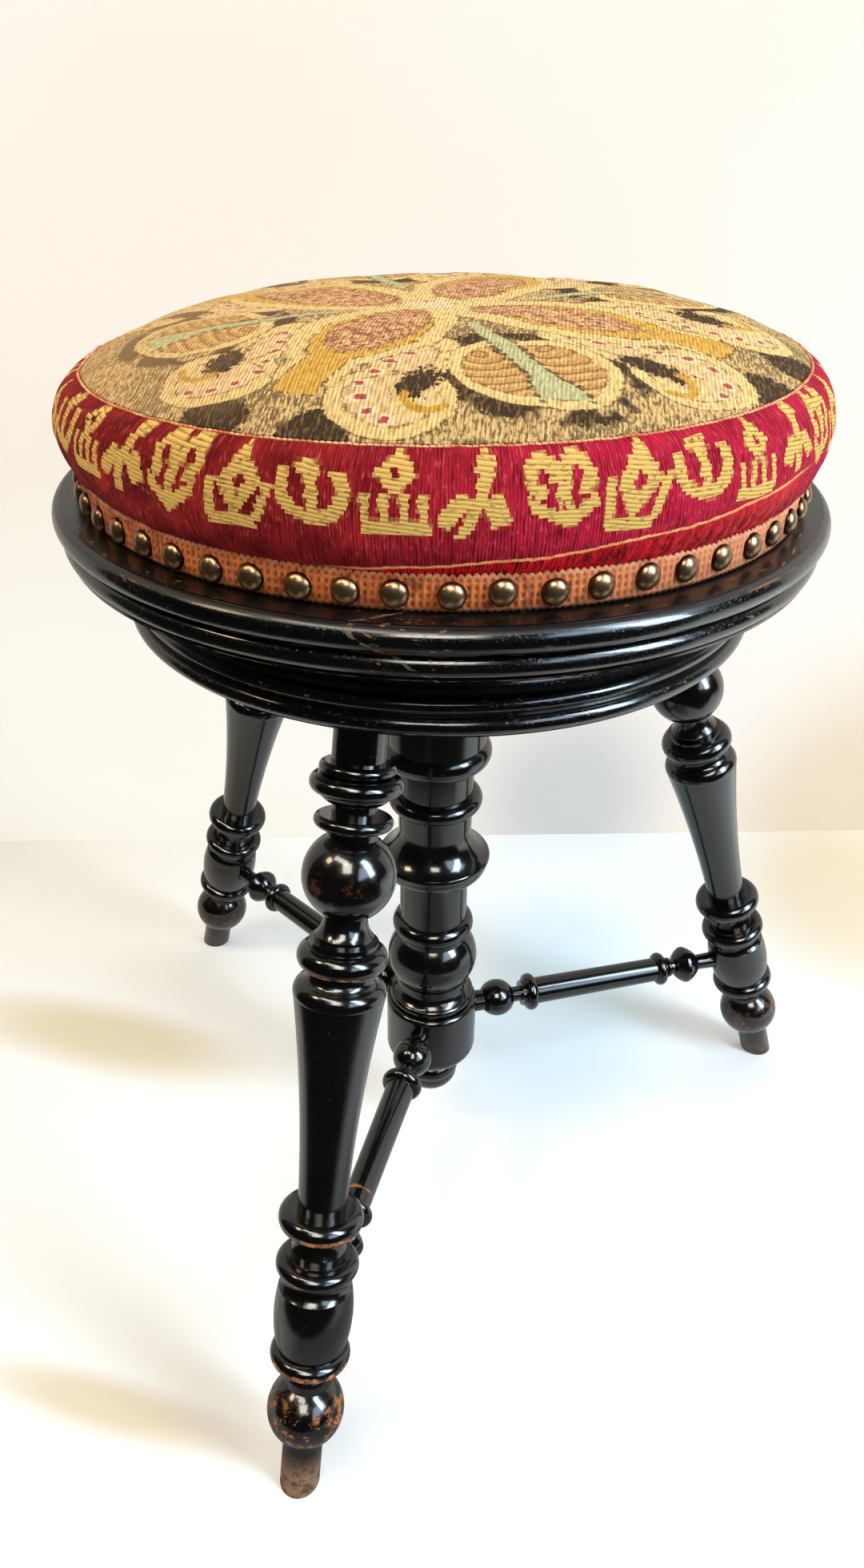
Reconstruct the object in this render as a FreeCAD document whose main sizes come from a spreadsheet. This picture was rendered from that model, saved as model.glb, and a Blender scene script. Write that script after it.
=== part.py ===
import FreeCAD, Part
import Sketcher
import math
import os
import re

# A turned, ebonised screw stool: three splayed legs and a bored column carry a fixed moulded top,
# and an upholstered seat turns up and down in it on an iron screw.
# Millimetres and degrees. +Z is up, and the origin is on the floor below the screw.
# The front leg stands towards -Y, the other two at 30 and 150 degrees.

doc = FreeCAD.newDocument("ScrewStool")
sheet = doc.addObject("Spreadsheet::Sheet", "Sizes")

# Driving dimensions
sizes = {
    # The stand as a whole
    "stand_height": "402",  # floor to the upper face of the fixed top
    "foot_circle_radius": "244",  # screw axis to a leg's axis, on the floor
    "leg_splay": "18.2",  # a leg's lean from upright, degrees
    "leg_count": "3",
    "front_azimuth": "-90",  # where the front leg stands, degrees
    "bead_share": "0.4",  # how far a bead stands out, as a share of its thickness
    "glue_gap": "0.1",  # round a glued tenon or a screw, all round
    "tenon_end_gap": "0.5",  # past the end of a tenon in a blind hole
    "overrun": "2",  # how far a cut runs past the face that it opens
    # A leg, from the floor up
    "leg_tip_radius": "9.8",
    "leg_tip_length": "27.3",
    "leg_ball_radius": "18.8",
    "leg_ankle_radius": "11",
    "leg_ankle_length": "12.9",
    "leg_ankle_hollow": "1.6",
    "leg_foot_ring_radius": "19.3",
    "leg_foot_ring_thickness": "8.6",
    "leg_barrel_foot_radius": "16.4",
    "leg_barrel_head_radius": "17.5",
    "leg_barrel_length": "33.5",
    "leg_barrel_swell": "1.9",
    "leg_wrist_length": "8",
    "leg_wrist_hollow": "1.2",
    "leg_low_ring_radius": "19.6",
    "leg_low_ring_thickness": "8.4",
    "leg_step_length": "2.4",
    "leg_wide_step_radius": "15.2",
    "leg_thin_step_radius": "12.8",
    "leg_neck_radius": "11.6",
    "leg_neck_length": "10.6",
    "leg_neck_hollow": "1",
    "leg_collar_radius": "19.9",
    "leg_collar_thickness": "10.6",
    "leg_shaft_foot_radius": "11.3",
    "leg_shaft_head_radius": "20.3",
    "leg_shaft_hollow": "1.7",
    "leg_shoulder_length": "7.5",
    "leg_shoulder_radius": "17.6",
    "leg_shoulder_swell": "1.5",
    "leg_groove_length": "5.5",
    "leg_groove_hollow": "1.1",
    "leg_high_ring_radius": "20",
    "leg_high_ring_thickness": "11",
    "leg_throat_radius": "9.8",
    "leg_throat_length": "9.1",
    "leg_throat_hollow": "1.1",
    "leg_big_ball_radius": "20.4",
    "leg_crown_radius": "11",
    "leg_crown_length": "4.4",
    "leg_disc_radius": "17",
    "leg_disc_thickness": "5.4",
    "leg_top_neck_radius": "9.6",
    "leg_top_neck_length": "5",
    "leg_cup_radius": "15.6",
    "leg_cup_length": "4.6",
    "leg_cup_swell": "1",
    "leg_vase_ring_radius": "19.9",
    "leg_vase_ring_thickness": "8",
    "leg_top_bead_radius": "16.3",
    "leg_top_bead_thickness": "5.4",
    "leg_top_shaft_radius": "11.4",
    "leg_top_shaft_length": "25.2",  # from the top bead to the underside of the fixed top
    "leg_mortise_skin": "6",  # wood left over a leg's end
    # A stretcher, from the column out
    "stretcher_root_radius": "6",
    "stretcher_root_depth": "14",  # how deep it goes into the drum
    "stretcher_root_neck_radius": "6.6",
    "stretcher_root_neck_length": "5.8",
    "stretcher_ball_radius": "11.6",
    "stretcher_ball_neck_radius": "4.8",
    "stretcher_ball_neck_length": "5.6",
    "stretcher_fillet_radius": "8",
    "stretcher_fillet_length": "2.1",
    "stretcher_inner_ring_radius": "11.8",
    "stretcher_inner_ring_thickness": "7.6",
    "stretcher_shaft_inner_radius": "8.4",
    "stretcher_shaft_outer_radius": "7.6",
    "stretcher_outer_ring_radius": "10.7",
    "stretcher_outer_ring_thickness": "6.2",
    "stretcher_bead_neck_radius": "4.8",
    "stretcher_bead_neck_length": "1.9",
    "stretcher_bead_radius": "6.4",
    "stretcher_bead_thickness": "3",
    "stretcher_cone_radius": "11.7",
    "stretcher_cone_inner_length": "7.2",
    "stretcher_cone_rim_length": "1.6",
    "stretcher_cone_outer_length": "8.4",
    "stretcher_cone_swell": "0.8",
    "stretcher_tail_root_radius": "4.9",
    "stretcher_tail_radius": "5.6",
    "stretcher_tail_length": "25",  # from the cone to inside the leg
    "stretcher_tail_set_back": "6",  # short of the leg's axis
    # The column, from the bottom of its drum up
    "drum_foot_radius": "19",
    "drum_below_stretchers": "31.5",
    "drum_edge_length": "9.5",
    "drum_edge_swell": "3",
    "drum_radius": "27.8",
    "drum_length": "32",
    "drum_head_radius": "25",
    "drum_head_length": "3.5",
    "drum_head_swell": "0.9",
    "column_bead_neck_radius": "23.1",
    "column_bead_neck_length": "1.2",
    "column_bead_radius": "25.6",
    "column_bead_thickness": "5",
    "column_cove_radius": "20",
    "column_cove_length": "9.5",
    "column_cove_hollow": "1.8",
    "column_fillet_radius": "22",
    "column_fillet_length": "3",
    "column_bulge_foot_radius": "21",
    "column_bulge_head_radius": "20.4",
    "column_bulge_length": "31",
    "column_bulge_swell": "6.1",
    "column_groove_length": "3.2",
    "column_low_ring_radius": "23.9",
    "column_low_ring_thickness": "11.6",
    "column_low_shaft_radius": "19.7",
    "column_low_shaft_length": "31",
    "column_bell_radius": "31",
    "column_bell_under_length": "11",
    "column_bell_under_swell": "3",
    "column_bell_rim_length": "3.6",
    "column_bell_rim_swell": "0.7",
    "column_bell_flare_length": "19.4",
    "column_bell_flare_hollow": "3.4",
    "column_mid_shaft_radius": "20.6",
    "column_mid_shaft_length": "12.3",
    "column_high_ring_radius": "26.2",
    "column_high_ring_thickness": "10",
    "column_high_shaft_radius": "21",
    "column_high_shaft_length": "18.5",
    "column_collar_foot_radius": "24.4",
    "column_collar_thickness": "14",
    "column_collar_swell": "4.4",
    "column_neck_radius": "27",
    "column_neck_ring_radius": "32",
    "column_neck_ring_thickness": "9",
    "column_capital_radius": "36",
    "column_capital_length": "20",
    "column_capital_hollow": "3.5",
    "column_tenon_radius": "24",
    "column_tenon_length": "12",
    "column_bore_radius": "12.6",
    "column_bore_clearance": "9",  # below the end of the screw, screwed right down
    # The drop finial, from its lowest point up
    "finial_tip_radius": "4",
    "finial_bowl_length": "12.5",
    "finial_bowl_swell": "4.6",
    "finial_radius": "16.9",
    "finial_head_length": "10.5",
    "finial_head_swell": "2.8",
    "finial_neck_radius": "12.4",
    "finial_neck_length": "6",
    "finial_peg_radius": "8",
    "finial_peg_length": "15",
    # The fixed top
    "top_radius": "148.6",
    "top_thickness": "28",
    "top_fillet_length": "0.8",
    "top_low_bead_thickness": "7.6",
    "top_groove_length": "1.2",
    "top_high_bead_radius": "147.2",
    "top_high_bead_thickness": "6.4",
    "top_cove_radius": "139.5",
    "top_cove_length": "9",
    "top_cove_hollow": "1.9",
    # The screw, its nut and its flange
    "thread_lead": "8",
    "thread_core_radius": "9.5",
    "thread_depth": "2",
    "thread_crest_width": "2.2",
    "thread_root_width": "3.8",
    "thread_gap": "0.35",
    "screw_rise": "120",
    "screw_hold": "72",  # length of screw left below the seat's flange's stop at full height
    "screw_point_radius": "7.6",
    "screw_point_length": "3",
    "screw_rivet_radius": "7.5",
    "screw_head_radius": "13",
    "screw_head_thickness": "3",
    "nut_flange_radius": "34",
    "nut_flange_thickness": "4",
    "nut_hub_radius": "17",
    "nut_hub_length": "22",
    "flange_radius": "48",
    "flange_thickness": "4",
    "washer_radius": "24",
    "washer_gap": "0.3",
    # Wood screws
    "wood_screw_radius": "2.1",
    "wood_screw_head_radius": "4.2",
    "wood_screw_head_height": "2.1",
    "wood_screw_slot_width": "0.9",
    "wood_screw_slot_depth": "1",
    "nut_screw_count": "3",
    "nut_screw_circle_radius": "25.5",
    "nut_screw_length": "16",
    "flange_screw_count": "4",
    "flange_screw_circle_radius": "37",
    "flange_screw_length": "20",
    "base_screw_count": "3",
    "base_screw_circle_radius": "112",
    "base_screw_length": "30",
    "base_screw_sink": "2",
    # The seat board
    "seat_gap": "3",  # fixed top to seat board, screwed right down
    "board_radius": "176.3",
    "board_foot_radius": "157.5",
    "board_cove_radius": "170.1",
    "board_cove_length": "6",
    "board_cove_hollow": "1.8",
    "board_fillet_radius": "171.3",
    "board_fillet_length": "1.3",
    "board_low_bead_radius": "173.5",
    "board_low_bead_thickness": "8.6",
    "board_groove_length": "1.1",
    "board_nose_thickness": "10.4",
    "board_rim_length": "0.6",
    # The upholstery
    "base_radius": "159",
    "base_thickness": "14",
    "cover_thickness": "1.2",
    "lining_thickness": "0.6",
    "soft_gap": "0.3",
    "cushion_foot_radius": "160.5",
    "cushion_side_height": "43.5",
    "cushion_side_swell": "13.2",
    "cushion_edge_radius": "152.8",
    "cushion_crown": "17",
    "gimp_thickness": "1.3",
    "gimp_height": "14",
    "gimp_lift": "0.3",  # above the seat board
    "nail_count": "56",
    "nail_azimuth": "2.9",  # where the first nail is driven, degrees
    "nail_head_radius": "5.3",
    "nail_head_height": "3.4",
    "nail_shank_radius": "0.8",
    "nail_shank_length": "11",
}

for row, (alias, number) in enumerate(sizes.items(), start=1):
    sheet.set("A%d" % row, alias)
    sheet.set("B%d" % row, number)
    sheet.setAlias("B%d" % row, alias)
doc.recompute()


def value(text):
    """The number that an expression in the sheet's aliases comes to."""
    found = sheet.evalExpression(text)
    return float(getattr(found, "Value", found))


def bound(text):
    """The same expression, as other objects of the document write it."""
    return re.sub(r"[a-z]\w*", lambda word: "Sizes." + word[0] if word[0] in sizes else word[0], text)


def bind(feature, **properties):
    """Ties properties of a feature to expressions in the sheet's aliases."""
    for name, text in properties.items():
        feature.setExpression(name, bound(text))


# Places and directions
UP = FreeCAD.Vector(0, 0, 1)
ACROSS = FreeCAD.Vector(0, 1, 0)
OUT = FreeCAD.Vector(1, 0, 0)
FULL_TURN = math.degrees(math.tau)


def at(height):
    """A placement on the screw's axis, upright."""
    return FreeCAD.Placement(FreeCAD.Vector(0, 0, height), FreeCAD.Rotation())


def turned_to(azimuth):
    """A placement that swings a piece round the screw's axis."""
    return FreeCAD.Placement(FreeCAD.Vector(), FreeCAD.Rotation(UP, azimuth))


def tilted(angle):
    """A placement that leans a piece away from upright, towards its own +X."""
    return FreeCAD.Placement(FreeCAD.Vector(), FreeCAD.Rotation(ACROSS, angle))


def moved(out, height):
    """A placement that shifts a piece out along its own X and up."""
    return FreeCAD.Placement(OUT * out + UP * height, FreeCAD.Rotation())


# Steps of a turned outline, each from the point where the last one ended.
# Every argument is an expression in the sheet's aliases.
def line(rise, radius):
    return ("line", rise, radius, "0")


def swell(rise, radius, height):
    """An arc that stands out from its chord by height."""
    return ("swell", rise, radius, height)


def hollow(rise, radius, depth):
    """An arc that lies in from its chord by depth."""
    return ("hollow", rise, radius, depth)


def ball(ball_radius, from_radius, radius):
    """The middle of a ball on the axis, from one neck radius to the next."""
    rise = "sqrt(({0})^2 - ({1})^2) + sqrt(({0})^2 - ({2})^2)".format(ball_radius, from_radius, radius)
    return ("ball", rise, radius, ball_radius)


def dome(rise):
    """An arc that ends square on the axis."""
    return ("dome", rise, "0", "0")


def step_to(radius):
    return line("0", radius)


def bead_foot(radius, thickness):
    """The radius that a bead springs from."""
    return "%s - %s * bead_share" % (radius, thickness)


def rounding(radius, thickness):
    """A bead's own half-round, where the outline is at the bead's foot already."""
    return swell(thickness, bead_foot(radius, thickness), "%s * bead_share" % thickness)


def bead(radius, thickness):
    """A step to the foot of a bead, and the bead."""
    return [step_to(bead_foot(radius, thickness)), rounding(radius, thickness)]


def total_rise(steps):
    """The expression for how far a list of steps climbs."""
    return " + ".join("(%s)" % step[1] for step in steps if step[1] != "0")


def arc_radius(kind, rise, start_radius, radius, height):
    """The expression for the radius of a step's arc."""
    if kind == "ball":
        return height
    if kind == "dome":
        return "((%s)^2 + (%s)^2) / (2 * (%s))" % (start_radius, rise, rise)
    chord_squared = "((%s)^2 + ((%s) - (%s))^2)" % (rise, radius, start_radius)
    return "%s / (8 * (%s)) + (%s) / 2" % (chord_squared, height, height)


def origin_plane(body, role):
    """One of the body's own origin planes, such as XZ_Plane."""
    return next(plane for plane in body.Origin.OriginFeatures if plane.Role == role)


def sketch_on(body, name, role):
    sketch = body.newObject("Sketcher::SketchObject", name)
    sketch.AttachmentSupport = [(origin_plane(body, role), "")]
    sketch.MapMode = "FlatFace"
    return sketch


def arc_between(start, end, radius, outward):
    """An arc of the given radius, and the ends of it where start and end lie."""
    middle = (start + end) / 2
    chord = end - start
    left = FreeCAD.Vector(-chord.y, chord.x, 0).normalize()
    height = math.sqrt(max(radius**2 - (chord.Length / 2) ** 2, 0))
    centre = middle + left * (height if outward else -height)
    first, last = (start, end) if outward else (end, start)
    begin = math.atan2(first.y - centre.y, first.x - centre.x)
    finish = math.atan2(last.y - centre.y, last.x - centre.x)
    if finish < begin:
        finish += 2 * math.pi
    arc = Part.ArcOfCircle(Part.Circle(centre, UP, radius), begin, finish)
    return arc, (1, 2) if outward else (2, 1)


class Outline:
    """A closed half outline in a sketch, with its sizes bound to the sheet.

    In its rules, geometry -1 with point 1 is the origin, and geometry -2 the upright axis.
    """

    def __init__(self, sketch):
        self.sketch = sketch
        self.place = FreeCAD.Vector()
        self.radius = "0"
        self.geometry = []
        self.ends = []
        self.rules = []
        self.bindings = []

    def rule(self, *parts, text=None):
        if text is not None:
            self.bindings.append((len(self.rules), text))
            parts += (value(text),)
        self.rules.append(Sketcher.Constraint(*parts))

    def go(self, kind, rise, radius, height):
        index = len(self.geometry)
        target = FreeCAD.Vector(value(radius), self.place.y + value(rise), 0)
        if kind == "line":
            self.geometry.append(Part.LineSegment(self.place, target))
            start, end = 1, 2
        else:
            text = arc_radius(kind, rise, self.radius, radius, height)
            arc, (start, end) = arc_between(self.place, target, value(text), kind != "hollow")
            self.geometry.append(arc)
            self.rule("Radius", index, text=text)
        if self.ends:
            self.rule("Coincident", self.ends[-1][0], self.ends[-1][1], index, start)
        else:
            self.first = (index, start)
            self.rule("Coincident", index, start, -1, 1)
        if radius == "0":
            self.rule("PointOnObject", index, end, -2)
        else:
            self.rule("DistanceX", -1, 1, index, end, text=radius)
        if rise == "0":
            self.rule("Horizontal", index)
        else:
            self.rule("DistanceY", index, start, index, end, text=rise)
        self.ends.append((index, end))
        self.place = target
        self.radius = radius

    def close(self):
        """Back to the axis, and down it to where the outline began."""
        if self.radius != "0":
            self.go("line", "0", "0", "0")
        index = len(self.geometry)
        self.geometry.append(Part.LineSegment(self.place, FreeCAD.Vector()))
        self.rule("Coincident", *self.ends[-1], index, 1)
        self.rule("Coincident", index, 2, *self.first)
        self.sketch.addGeometry(self.geometry, False)
        self.sketch.addConstraint(self.rules)
        for number, text in self.bindings:
            self.sketch.setExpression("Constraints[%d]" % number, bound(text))


def turned(name, start_radius, steps):
    """A body turned about its own Z axis, from Z = 0 up."""
    body = doc.addObject("PartDesign::Body", name)
    outline = Outline(sketch_on(body, name + "_outline", "XZ_Plane"))
    for step in [step_to(start_radius)] + steps:
        outline.go(*step)
    outline.close()
    turning = body.newObject("PartDesign::Revolution", name + "_turning")
    turning.Profile = outline.sketch
    turning.ReferenceAxis = (outline.sketch, ["V_Axis"])
    turning.Angle = FULL_TURN
    body.Tip = turning
    doc.recompute()
    return body


def bore(body, name, radius, depth, place):
    """A round hole in a body. It starts at place and runs along that placement's Z."""
    hole = body.newObject("PartDesign::SubtractiveCylinder", name)
    bind(hole, Radius=radius, Height=depth)
    hole.Placement = place
    body.Tip = hole
    doc.recompute()
    return hole


def countersink(body, name, place):
    """A seat for a wood screw's head, widest at place and narrowing along its Z."""
    seat = body.newObject("PartDesign::SubtractiveCone", name)
    bind(
        seat,
        Radius1="wood_screw_head_radius + glue_gap",
        Radius2="wood_screw_radius + glue_gap",
        Height="wood_screw_head_height",
    )
    seat.Placement = place
    body.Tip = seat
    doc.recompute()
    return seat


def ring_places(count, radius, height, flip=False):
    """Placements evenly round the screw's axis. Each one's Z points up, or down where flipped."""
    turn = FreeCAD.Rotation(OUT, FULL_TURN / 2) if flip else FreeCAD.Rotation()
    spot = FreeCAD.Placement(OUT * radius + UP * height, turn)
    return [turned_to(FULL_TURN * index / count) * spot for index in range(count)]


parts = {}


def keep(name, piece):
    """Names a piece as one of the stool's sub-parts."""
    piece.Label = name
    parts[name] = piece
    return piece


def group(name, master, places):
    """Like pieces that share one node, each a solid of its own."""
    piece = doc.addObject("Part::Feature", name)
    solids = []
    for place in places:
        solid = master.Shape.copy()
        solid.Placement = place * master.Shape.Placement
        solids.append(solid)
    piece.Shape = Part.makeCompound(solids)
    return keep(name, piece)


# Heights and reaches that follow from the driving dimensions
top_underside = value("stand_height - top_thickness")
seat_underside = value("stand_height + seat_gap")
leg_count = int(value("leg_count"))
azimuths = [value("front_azimuth") + FULL_TURN * index / leg_count for index in range(leg_count)]
side_names = ["front", "right", "left"]
splay = value("leg_splay")

# The leg
# The long shaft takes up the length that the other turnings leave.
leg_below_barrel = [
    line("leg_tip_length", "leg_tip_radius"),
    ball("leg_ball_radius", "leg_tip_radius", "leg_ankle_radius"),
    hollow(
        "leg_ankle_length",
        bead_foot("leg_foot_ring_radius", "leg_foot_ring_thickness"),
        "leg_ankle_hollow",
    ),
    rounding("leg_foot_ring_radius", "leg_foot_ring_thickness"),
    step_to("leg_barrel_foot_radius"),
]
leg_barrel = [swell("leg_barrel_length", "leg_barrel_head_radius", "leg_barrel_swell")]
leg_below_shaft = [
    hollow("leg_wrist_length", "leg_wide_step_radius", "leg_wrist_hollow"),
    *bead("leg_low_ring_radius", "leg_low_ring_thickness"),
    step_to("leg_wide_step_radius"),
    line("leg_step_length", "leg_wide_step_radius"),
    step_to("leg_thin_step_radius"),
    line("leg_step_length", "leg_thin_step_radius"),
    hollow("leg_neck_length", "leg_neck_radius", "leg_neck_hollow"),
    *bead("leg_collar_radius", "leg_collar_thickness"),
    step_to("leg_shaft_foot_radius"),
]
leg_above_shaft = [
    swell("leg_shoulder_length", "leg_shoulder_radius", "leg_shoulder_swell"),
    hollow(
        "leg_groove_length",
        bead_foot("leg_high_ring_radius", "leg_high_ring_thickness"),
        "leg_groove_hollow",
    ),
    rounding("leg_high_ring_radius", "leg_high_ring_thickness"),
    step_to("leg_wide_step_radius"),
    line("leg_step_length", "leg_wide_step_radius"),
    step_to("leg_thin_step_radius"),
    line("leg_step_length", "leg_thin_step_radius"),
    hollow("leg_throat_length", "leg_throat_radius", "leg_throat_hollow"),
    ball("leg_big_ball_radius", "leg_throat_radius", "leg_crown_radius"),
    line("leg_crown_length", "leg_crown_radius"),
    *bead("leg_disc_radius", "leg_disc_thickness"),
    step_to("leg_top_neck_radius"),
    line("leg_top_neck_length", "leg_top_neck_radius"),
    swell("leg_cup_length", "leg_cup_radius", "leg_cup_swell"),
    *bead("leg_vase_ring_radius", "leg_vase_ring_thickness"),
    *bead("leg_top_bead_radius", "leg_top_bead_thickness"),
    step_to("leg_top_shaft_radius"),
]
leg_to_underside = "(stand_height - top_thickness) / cos(leg_splay)"
leg_shaft_length = "%s - (%s) - leg_top_shaft_length" % (
    leg_to_underside,
    total_rise(leg_below_barrel + leg_barrel + leg_below_shaft + leg_above_shaft),
)
leg_end = "(stand_height - leg_mortise_skin - leg_top_shaft_radius * sin(leg_splay)) / cos(leg_splay)"
leg_tenon_length = "%s - %s" % (leg_end, leg_to_underside)
leg_floor_cut = "leg_tip_radius * tan(leg_splay) + overrun"
leg_steps = (
    [line(leg_floor_cut, "leg_tip_radius")]
    + leg_below_barrel
    + leg_barrel
    + leg_below_shaft
    + [hollow(leg_shaft_length, "leg_shaft_head_radius", "leg_shaft_hollow")]
    + leg_above_shaft
    + [line("leg_top_shaft_length + %s" % leg_tenon_length, "leg_top_shaft_radius")]
)
barrel_middle = "%s + leg_barrel_length / 2" % total_rise(leg_below_barrel)
stretcher_height = "(%s) * cos(leg_splay)" % barrel_middle
leg_axis_reach = "foot_circle_radius - (%s) * sin(leg_splay)" % barrel_middle
stretcher_level = value(stretcher_height)


def leg(side, azimuth):
    """One leg. Its foot is cut level with the floor, and its barrel is bored for the stretcher."""
    name = "leg_" + side
    body = turned(name, "leg_tip_radius", leg_steps)
    floor_cut = value(leg_floor_cut)
    # In the leg's own frame the floor passes through its axis at this height, tilted back
    floor = moved(0, floor_cut) * tilted(splay)
    sole = body.newObject("PartDesign::SubtractiveBox", name + "_sole")
    reach = "4 * leg_tip_radius"
    bind(sole, Length=reach, Width=reach, Height=reach)
    half = value(reach) / 2
    sole.Placement = floor * FreeCAD.Placement(FreeCAD.Vector(-half, -half, -2 * half), FreeCAD.Rotation())
    body.Tip = sole
    doc.recompute()
    # The mortise runs in level from the side that faces the column
    axis_point = moved(0, floor_cut + value(barrel_middle)) * tilted(splay)
    set_back = value("stretcher_tail_set_back - tenon_end_gap")
    mouth = axis_point * moved(-set_back, 0) * tilted(-90)
    bore(body, name + "_mortise", "stretcher_tail_radius + glue_gap", "2 * leg_barrel_head_radius", mouth)
    lean = moved(value("foot_circle_radius"), 0) * tilted(-splay) * moved(0, -floor_cut)
    body.Placement = turned_to(azimuth) * lean
    return keep(name, body)


for side, azimuth in zip(side_names, azimuths):
    leg(side, azimuth)

# The stretchers
# The plain shaft takes up the length that the other turnings leave.
stretcher_inside = [
    line("stretcher_root_depth", "stretcher_root_radius"),
    step_to("stretcher_root_neck_radius"),
    line("stretcher_root_neck_length", "stretcher_root_neck_radius"),
    ball("stretcher_ball_radius", "stretcher_root_neck_radius", "stretcher_ball_neck_radius"),
    line("stretcher_ball_neck_length", "stretcher_ball_neck_radius"),
    step_to("stretcher_fillet_radius"),
    line("stretcher_fillet_length", "stretcher_fillet_radius"),
    *bead("stretcher_inner_ring_radius", "stretcher_inner_ring_thickness"),
    step_to("stretcher_shaft_inner_radius"),
]
stretcher_outside = [
    *bead("stretcher_outer_ring_radius", "stretcher_outer_ring_thickness"),
    step_to("stretcher_bead_neck_radius"),
    line("stretcher_bead_neck_length", "stretcher_bead_neck_radius"),
    *bead("stretcher_bead_radius", "stretcher_bead_thickness"),
    step_to("stretcher_bead_neck_radius"),
    line("stretcher_bead_neck_length", "stretcher_bead_neck_radius"),
    swell("stretcher_cone_inner_length", "stretcher_cone_radius", "stretcher_cone_swell"),
    line("stretcher_cone_rim_length", "stretcher_cone_radius"),
    swell("stretcher_cone_outer_length", "stretcher_tail_root_radius", "stretcher_cone_swell"),
    line("stretcher_tail_length", "stretcher_tail_radius"),
]
stretcher_start = "drum_radius - stretcher_root_depth"
stretcher_shaft_length = "(%s) - stretcher_tail_set_back - (%s) - (%s) - (%s)" % (
    leg_axis_reach,
    stretcher_start,
    total_rise(stretcher_inside),
    total_rise(stretcher_outside),
)
stretcher_steps = (
    stretcher_inside
    + [line(stretcher_shaft_length, "stretcher_shaft_outer_radius")]
    + stretcher_outside
)
level_out = tilted(90)


def stretcher(side, azimuth):
    """One stretcher, level between the column's drum and a leg's barrel."""
    name = "stretcher_" + side
    body = turned(name, "stretcher_root_radius", stretcher_steps)
    body.Placement = turned_to(azimuth) * moved(value(stretcher_start), stretcher_level) * level_out
    return keep(name, body)


for side, azimuth in zip(side_names, azimuths):
    stretcher(side, azimuth)

# The column
# The neck under the capital takes up the height that the other turnings leave.
column_below_neck = [
    swell("drum_edge_length", "drum_radius", "drum_edge_swell"),
    line("drum_length", "drum_radius"),
    swell("drum_head_length", "drum_head_radius", "drum_head_swell"),
    step_to("column_bead_neck_radius"),
    line("column_bead_neck_length", "column_bead_neck_radius"),
    *bead("column_bead_radius", "column_bead_thickness"),
    hollow("column_cove_length", "column_cove_radius", "column_cove_hollow"),
    step_to("column_fillet_radius"),
    line("column_fillet_length", "column_fillet_radius"),
    step_to("column_bulge_foot_radius"),
    swell("column_bulge_length", "column_bulge_head_radius", "column_bulge_swell"),
    line("column_groove_length", "column_bulge_head_radius"),
    *bead("column_low_ring_radius", "column_low_ring_thickness"),
    step_to("column_low_shaft_radius"),
    line("column_low_shaft_length", "column_low_shaft_radius"),
    swell("column_bell_under_length", "column_bell_radius", "column_bell_under_swell"),
    swell("column_bell_rim_length", "column_bell_radius", "column_bell_rim_swell"),
    hollow("column_bell_flare_length", "column_mid_shaft_radius", "column_bell_flare_hollow"),
    line("column_mid_shaft_length", "column_mid_shaft_radius"),
    *bead("column_high_ring_radius", "column_high_ring_thickness"),
    step_to("column_high_shaft_radius"),
    line("column_high_shaft_length", "column_high_shaft_radius"),
    step_to("column_collar_foot_radius"),
    swell("column_collar_thickness", "column_neck_radius", "column_collar_swell"),
]
column_above_neck = [
    *bead("column_neck_ring_radius", "column_neck_ring_thickness"),
    step_to("column_neck_radius"),
    hollow("column_capital_length", "column_capital_radius", "column_capital_hollow"),
]
drum_underside = "(%s) - drum_below_stretchers" % stretcher_height
column_neck_length = "stand_height - top_thickness - (%s) - (%s) - (%s)" % (
    drum_underside,
    total_rise(column_below_neck),
    total_rise(column_above_neck),
)
column_steps = (
    column_below_neck
    + [line(column_neck_length, "column_neck_radius")]
    + column_above_neck
    + [step_to("column_tenon_radius"), line("column_tenon_length", "column_tenon_radius")]
)
drum_bottom = value(drum_underside)
nut_bottom = value("stand_height - nut_flange_thickness - nut_hub_length")
spindle_length = "screw_rise + screw_hold"
spindle_bottom = value("stand_height + seat_gap - (%s)" % spindle_length)
bore_bottom = spindle_bottom - value("column_bore_clearance")
column_top = value("stand_height - top_thickness + column_tenon_length")

column = turned("column", "drum_foot_radius", column_steps)
bore_depth = "%r + overrun" % (column_top - bore_bottom)
bore(column, "column_bore", "column_bore_radius", bore_depth, at(bore_bottom - drum_bottom))
hub_depth = "%r + overrun" % (column_top - nut_bottom)
bore(column, "column_hub_bore", "nut_hub_radius + glue_gap", hub_depth, at(nut_bottom - drum_bottom))
for side, azimuth in zip(side_names, azimuths):
    inner_end = moved(value("%s - tenon_end_gap" % stretcher_start), stretcher_level - drum_bottom)
    bore(
        column,
        "column_mortise_" + side,
        "stretcher_root_radius + glue_gap",
        "drum_radius",
        turned_to(azimuth) * inner_end * level_out,
    )
bore(
    column,
    "column_peg_hole",
    "finial_peg_radius + glue_gap",
    "finial_peg_length + tenon_end_gap + overrun",
    at(value("-overrun")),
)
column.Placement = at(drum_bottom)
keep("column", column)

# The drop finial under the drum
finial_body_steps = [
    swell("finial_bowl_length", "finial_radius", "finial_bowl_swell"),
    swell("finial_head_length", "finial_neck_radius", "finial_head_swell"),
    line("finial_neck_length", "finial_neck_radius"),
]
finial_steps = finial_body_steps + [
    step_to("finial_peg_radius"),
    line("finial_peg_length", "finial_peg_radius"),
]
finial = turned("drop_finial", "finial_tip_radius", finial_steps)
finial.Placement = at(drum_bottom - value(total_rise(finial_body_steps)))
keep("drop_finial", finial)

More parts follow.
